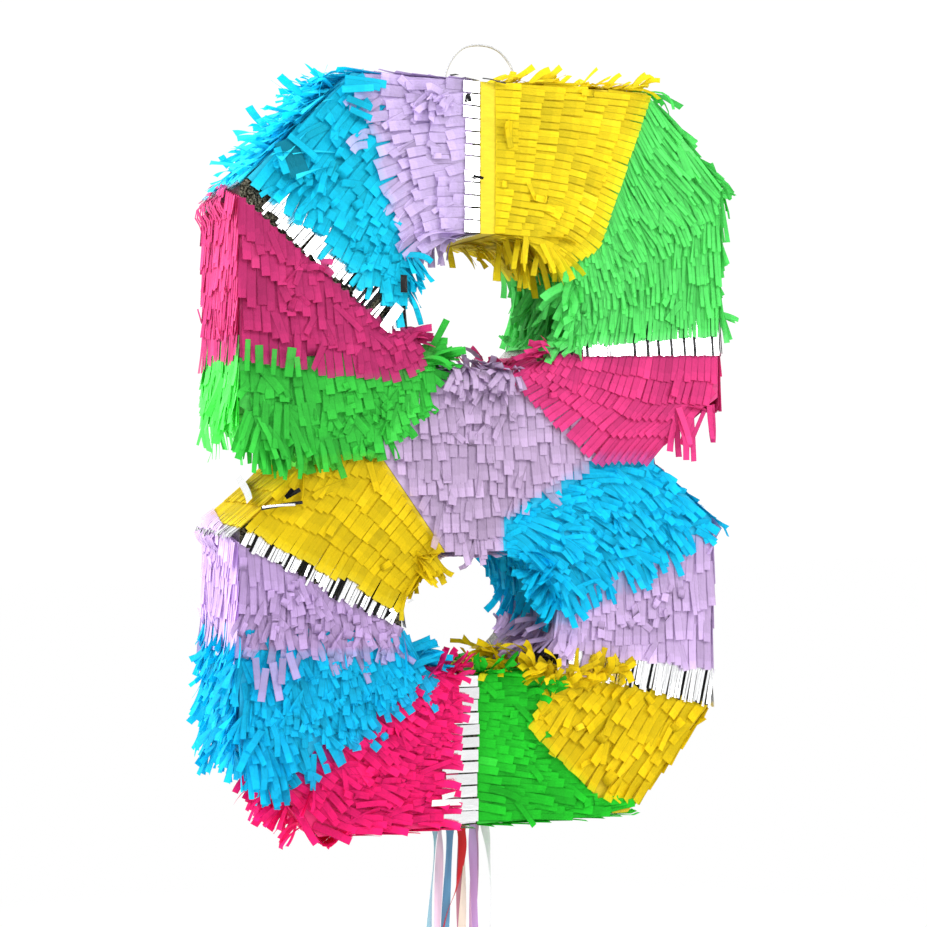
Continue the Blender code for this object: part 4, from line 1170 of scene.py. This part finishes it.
def make_hanging_loop():
    line = smooth_line([(x, 0, z - LOOP_RISE) for x, z in LOOP_ROUTE], 60)
    data = bpy.data.curves.new("hanging_loop", "CURVE")
    data.dimensions = "3D"
    data.bevel_depth = CORD_RADIUS
    data.bevel_resolution = 3
    data.use_fill_caps = True
    spline = data.splines.new("POLY")
    spline.points.add(len(line) - 1)
    for point, place in zip(spline.points, line):
        point.co = (*place, 1)
    data.materials.append(twisted_cord())
    loop = bpy.data.objects.new("hanging_loop", data)
    bpy.context.scene.collection.objects.link(loop)
    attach(loop, "hanger")
    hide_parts("hang_loop")


def make_ribbon(name, paint, route, number):
    """A flat ribbon down its route, turning a little from side to side on its way."""
    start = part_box("ribbon_" + name)[1][2]
    points = [(x / MM - LOOP_X, y / MM, start - drop / MM) for x, y, drop in route]
    line = smooth_line(points, RIBBON_STEPS)
    length = run_of(line)
    s = np.linspace(0, 1, RIBBON_STEPS + 1)
    turn = RIBBON_TURN * np.sin(6.4 * s + 1.7 * number) * np.clip(s * 9, 0, 1)
    tangent = unit(np.gradient(line, axis=0))
    sideways = np.stack([np.cos(turn), np.sin(turn), np.zeros_like(turn)], axis=1)
    sideways = unit(sideways - tangent * (sideways * tangent).sum(axis=1, keepdims=True))
    normal = np.cross(tangent, sideways)
    columns = np.linspace(-0.5, 0.5, 5)
    arch = (0.25 - columns**2) * RIBBON_ARCH * RIBBON_WIDTH
    points = line[:, None] + sideways[:, None] * (columns * RIBBON_WIDTH)[None, :, None]
    points = points + normal[:, None] * arch[None, :, None]
    corner = np.arange(RIBBON_STEPS)[:, None] * 5 + np.arange(4)[None]
    faces = np.stack([corner, corner + 1, corner + 6, corner + 5], axis=-1).reshape(-1, 4)
    mesh = mesh_of("satin_" + name, points.reshape(-1, 3), faces)
    grain = np.zeros((RIBBON_STEPS + 1, 5, 3))
    grain[..., 0] = (s * length * MM)[:, None]
    grain[..., 1] = columns * RIBBON_WIDTH * MM
    grain[..., 2] = number
    set_attribute(mesh, "grain", "FLOAT_VECTOR", grain)
    material = satin("satin_" + name, paint)
    ribbon = add_piece("satin_" + name, mesh, material, "pull_ribbons")
    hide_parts("ribbon_" + name)


# Building the fringe

MADE = {}
ON_PAPER = 0.0004  # how far above the paper a loose flap's root is
LEAST_LENGTH = 0.006
FIRST_LIFT = 0.0024  # how far a slanting block's first row on the wall rises over the block before it
TUFT_SCATTER, TUFT_LIFT = 0.28, 0.0012
STREWN_LENGTH, STREWN_LIFT = 0.017, 0.0010
# The rows across the waist's floor and ceiling: the height, which way is up from it, the ends and the style.
LININGS = ((UPPER_HOLE[2], 1, -0.033, 0.016, "shaggy"), (LOWER_HOLE[3], -1, -0.034, 0.010, "squares"))
LINING_ROWS = (0.040, 0.028, 0.016, 0.004, -0.008, -0.020)
LINING_WIDTH, LINING_LENGTH, LINING_CLUMPS = 0.0042, 0.025, 0.3
FIRST_SEED, WAIST_SEED = 1000, 1100


def fringe_material(colour):
    if colour not in MADE:
        MADE[colour] = foil_fringe() if colour == "foil" else tissue(colour)
    return MADE[colour]


def add_piece(name, mesh, material, body):
    mesh.materials.append(material)
    piece = bpy.data.objects.new(name, mesh)
    bpy.context.scene.collection.objects.link(piece)
    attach(piece, body)
    return piece


def in_plane(flat, y):
    """Points or directions of the front's plane, as (x, y, z)."""
    return np.stack([flat[:, 0], np.full(len(flat), float(y)), flat[:, 1]], axis=1)


def turned_flow(rows, block, t, u, flow):
    """The flow of a row's flaps: square to the row on foil, and turned as the block says on tissue."""
    if block["colour"] == "foil":
        t = np.broadcast_to(t, u.shape)
        row = unit(rows.at(t, u + 0.02) - rows.at(t, u - 0.02))
        square = np.stack([-row[:, 1], row[:, 0]], axis=1)
        return square * np.sign((square * flow).sum(axis=1, keepdims=True))
    lean = math.radians(block["lean"])
    leaned = flow @ np.array([[math.cos(lean), math.sin(lean)], [-math.sin(lean), math.cos(lean)]])
    plumb = block["plumb"]
    return unit(leaned * (1 - plumb) + np.array([0.0, -1.0]) * plumb)


def share_at(stretches, u):
    """The share given for each place across a block's rows."""
    share = np.zeros(len(u))
    for low, high, value in stretches:
        share[(u >= low) & (u <= high)] = value
    return share


def set_down(flaps, root, facing, pointing, length, width, style, **more):
    """Adds flaps by themselves, with their roots moved onto the paper."""
    distance, out = clearance(root)
    root = root + out * (ON_PAPER - distance)[:, None]
    along = unit(pointing)
    normal = np.array(facing, float)
    normal = unit(normal - along * (along @ normal)[:, None])
    flaps.add(root, along, normal, length, width, style, **more)


def add_tufts(name, flaps, wall_tone=1.0):
    rng = flaps.rng
    for place, half, facing, pointing, count, length in TUFTS.get(name, ()):
        root = np.array(place) / MM + rng.uniform(-1, 1, (count, 3)) * (np.array(half) / MM)
        way = np.array(pointing) + TUFT_SCATTER * rng.standard_normal((count, 3))
        sizes = length / MM * rng.uniform(0.7, 1.1, count)
        widths = rng.uniform(0.0034, 0.0050, count)
        # Tufts that lie on a left wall get the same painted light as the block's outer wall.
        tone = wall_tone if facing[0] < -0.4 else 1.0
        set_down(flaps, root, facing, way, sizes, widths, "tuft", lift=TUFT_LIFT, tone=tone)


def add_singles(name, flaps):
    for root, facing, pointing, length, width, tone, lift in SINGLES.get(name, ()):
        set_down(flaps, root, facing, pointing, length, width, "single", lift=lift, tone=tone)


def add_mess(rows, block, flaps):
    """Loose flaps that lie about on the front and the back of a block."""
    count = block["mess"]
    for sign in (-1, 1) if count else ():
        t = flaps.rng.uniform(0.03, block["mess_end"], count)
        u = flaps.rng.uniform(0.03, 0.97, count)
        root = rows.at(t, u)
        flow = turned_flow(rows, block, t, u, unit(rows.at(t + 0.03, u) - root))
        strew(root, flow, sign, flaps)


def strew(root, flow, sign, flaps):
    lengths = STREWN_LENGTH * flaps.rng.uniform(0.7, 1.2, len(root))
    widths = flaps.rng.uniform(0.0034, 0.0052, len(root))
    place = in_plane(root, sign * HALF_DEPTH)
    flaps.add(place, in_plane(flow, 0), (0, sign, 0), lengths, widths, "strewn", lift=STREWN_LIFT)


def face_flaps(rows, block, flaps, back):
    """The flaps of a block on the front, or on the back."""
    style = block["face"]
    pitch, full, wide, often = ROWS[style]
    sign = 1 if back else -1
    header, over = block["header"], block["over"]
    under = -header if header else block["under"]
    u_all = np.linspace(0, 1, 33)
    runs_all = rows.run(u_all)
    whole = runs_all.mean()
    bands = max(1, round((whole - header) / pitch))
    for band in range(1, bands + 1):
        t = (header + (whole - header) * band / bands) / whole
        row = rows.at(np.full(33, t), u_all)
        marks = np.concatenate([[0], np.cumsum(np.linalg.norm(np.diff(row, axis=0), axis=1))])
        count = max(2, round(marks[-1] / wide))
        u = np.interp((np.arange(count) + flaps.rng.random() * 0.6 + 0.2) / count * marks[-1], marks, u_all)
        runs = np.interp(u, u_all, runs_all)
        length = np.minimum(full, np.maximum(runs * t + under, LEAST_LENGTH))
        tip = rows.at(np.full(count, t), u)
        root = rows.at(np.maximum(t - length / np.maximum(runs, 0.004), -0.9), u)
        # A root that is off the paper moves towards its tip.
        for _ in range(8):
            spare = clearance(in_plane(root, 0))[0]
            root = np.where((spare > -0.001)[:, None], root * 0.8 + tip * 0.2, root)
        length = np.linalg.norm(tip - root, axis=1)
        along = turned_flow(rows, block, t, u, unit(tip - root))
        root = tip - along * length[:, None]
        group = flaps.clumps(count, often)
        keep = length > 0.004
        keep &= flaps.rng.random(count) >= (0 if back else share_at(block["bare"], u))
        if not keep.any():
            continue
        last = band == bands
        flaps.add(
            in_plane(root, sign * HALF_DEPTH)[keep],
            in_plane(along, 0)[keep],
            (0, sign, 0),
            length[keep] + (over if last else 0),
            marks[-1] / count,
            style,
            np.unique(group[keep], return_inverse=True)[1],
            tip_lift=block["lift"] if last else 0.0,
            trim=block["trim"] if last else 1.0,
            dark=share_at(block["dark"], u)[keep],
        )


def wall_flaps(outline, start, run, style, block, flaps, u, slant=0.0):
    """The flaps of a block on a wall, at one end of its rows, which run from front to back there."""
    pitch, full, wide, often = ROWS[style]
    way = 1 if run > 0 else -1
    header, over = block["header"], block["over"]
    under = -header if header else block["under"]
    total = abs(run)
    header = min(header, total / 2)
    bands = max(1, round((total - header) / pitch))
    reach = HALF_DEPTH + CORNER
    count = round(2 * reach / wide)
    y = ((np.arange(count) + 0.5) / count * 2 - 1) * reach
    for band in range(1, bands + 1):
        tip = header + (total - header) * band / bands
        early = slant * (0.5 + 0.5 * y / HALF_DEPTH) * (1 - band / bands)
        length = min(full, max(tip + under, LEAST_LENGTH))
        point, along, out = outline.at(start + way * (tip - length - early))
        root = in_plane(point, 0)
        root[:, 1] = y
        # On the outer wall, the paper's tone is raised as painted light, where the lamps fall on that side
        # more than on the front.
        flaps.add(
            root,
            in_plane(along, 0) * way,
            in_plane(out, 0),
            length + (over if band == bands else 0),
            2 * reach / count,
            style,
            flaps.clumps(count, often),
            tone=block["wall_tone"] if u else 1.0,
            lift=FIRST_LIFT if slant and band == 1 else 0.0,
            dark=share_at(block["dark"], np.full(count, u)),
        )


def finish_fringe(name, block, flaps):
    """Lays the flaps, and makes one piece of those on the shell and one of those on each panel."""
    colour = block["colour"]
    laid = flaps.all()
    lines = lay(laid)
    for number, body in enumerate(["shell"] + [panel[0] for panel in PANELS], start=-1):
        mine = laid["on"] == number
        if mine.any():
            some = {key: value[mine] for key, value in laid.items()}
            piece = name + "_fringe" if body == "shell" else f"{name}_{body}_fringe"
            mesh = strip_mesh(piece, some, lines[mine], painter(block, some))
            add_piece(piece, mesh, fringe_material(colour), body)


def build_block(name, seed):
    block = BLOCKS[name]
    rows = Block(block["start"], block["end"])
    flaps = Flaps(seed)
    face_flaps(rows, block, flaps, back=False)
    face_flaps(rows, block, flaps, back=True)
    slant = block["slant"]
    wall_flaps(OUTSIDE, rows.outer_start, rows.outer_run, block["wall"], block, flaps, 1, slant)
    if block["hole"]:
        wall_flaps(rows.hole, rows.hole_start, rows.hole_run, block["hole"], block, flaps, 0)
    add_mess(rows, block, flaps)
    add_tufts(name, flaps, block["wall_tone"])
    add_singles(name, flaps)
    finish_fringe(name, block, flaps)


def waist_edge(points, z):
    return np.interp(z, [p[1] for p in points], [p[0] for p in points])


def spaced(low, high, width):
    """The middles of the flaps that fill a row, and the width that each of them gets."""
    count = max(2, round((high - low) / width))
    return low + (np.arange(count) + 0.5) / count * (high - low), (high - low) / count


def build_waist(seed):
    """Lilac between the two holes: level rows that hang straight down, front and back, and rows across the
    upper hole's floor and the lower hole's ceiling."""
    pitch, full, wide, often = ROWS["squares"]
    flaps = Flaps(seed)
    top, bottom = UPPER_HOLE[2], LOWER_HOLE[3]
    bands = round((top - bottom) / pitch)
    for sign in (-1, 1):
        for band in range(1, bands + 1):
            tip_z = top + (bottom - top) * band / bands
            low, high = waist_edge(WAIST_LEFT, tip_z), waist_edge(WAIST_RIGHT, tip_z)
            if tip_z > 0:  # green and pink hang over its upper half
                low, high = low + 0.004, high - 0.005
            else:  # its lower half reaches under yellow and cyan
                low, high = low - 0.001, max(high, waist_edge(WAIST_RIGHT, tip_z + 0.009)) + 0.001
            x, width = spaced(low, high, wide)
            length = min(full, top - tip_z + 0.002) + (0.001 if band == bands else 0)
            root_z = np.full(len(x), min(tip_z + full, top - 0.001))
            root = in_plane(np.stack([x, root_z], 1), sign * HALF_DEPTH)
            group = flaps.clumps(len(x), often)
            flaps.add(root, (0, 0, -1), (0, sign, 0), length, width, "squares", group)
    for z, up, low, high, lining in LININGS:
        for y in LINING_ROWS:
            x, width = spaced(low, high, LINING_WIDTH)
            root = in_plane(np.stack([x, np.full(len(x), z)], 1), y)
            group = flaps.clumps(len(x), LINING_CLUMPS)
            flaps.add(root, (0, -1, 0), (0, 0, up), LINING_LENGTH, width, lining, group)
    for sign in (-1, 1):
        z = flaps.rng.uniform(bottom + 0.006, top - 0.002, WAIST_MESS)
        low, high = waist_edge(WAIST_LEFT, z), waist_edge(WAIST_RIGHT, z)
        x = low + (high - low) * flaps.rng.uniform(0.14, 0.84, WAIST_MESS)
        strew(np.stack([x, z], 1), np.tile([0.0, -1.0], (WAIST_MESS, 1)), sign, flaps)
    add_tufts("lilac_centre", flaps)
    finish_fringe("lilac_centre", dict(colour="lilac", shade=WAIST_SHADE), flaps)


def dress_nodes():
    """Materials for the CAD pieces that stay as they are."""
    made = {
        "foil": foil_base(),
        "cardboard": board(),
        "kraft_tape": kraft_tape(),
        "clear_tape": clear_tape(),
        "cord": twisted_cord(),
    }
    for row in frame["record"]["subparts"]:
        name, slot = row["node"], row["material_slot"]
        material = made.get(slot)
        if slot in PAINT and not material:
            # The base takes its block's shade, which is partly painted shade.
            shade = WAIST_SHADE if name == "lilac_centre" else BLOCKS.get(name, PLAIN)["shade"]
            material = tissue_base(name, tuple(min(p * s, 1.0) for p, s in zip(PAINT[slot], shade)))
        if material:
            data = frame["nodes"][name].data
            data.materials.clear()
            data.materials.append(material)


make_camera()
make_studio()
make_hanging_loop()
for number, (name, (paint, route)) in enumerate(RIBBONS.items()):
    make_ribbon(name, paint, route, number)
dress_nodes()
for number, name in enumerate(BLOCKS):
    build_block(name, FIRST_SEED + number)
build_waist(WAIST_SEED)
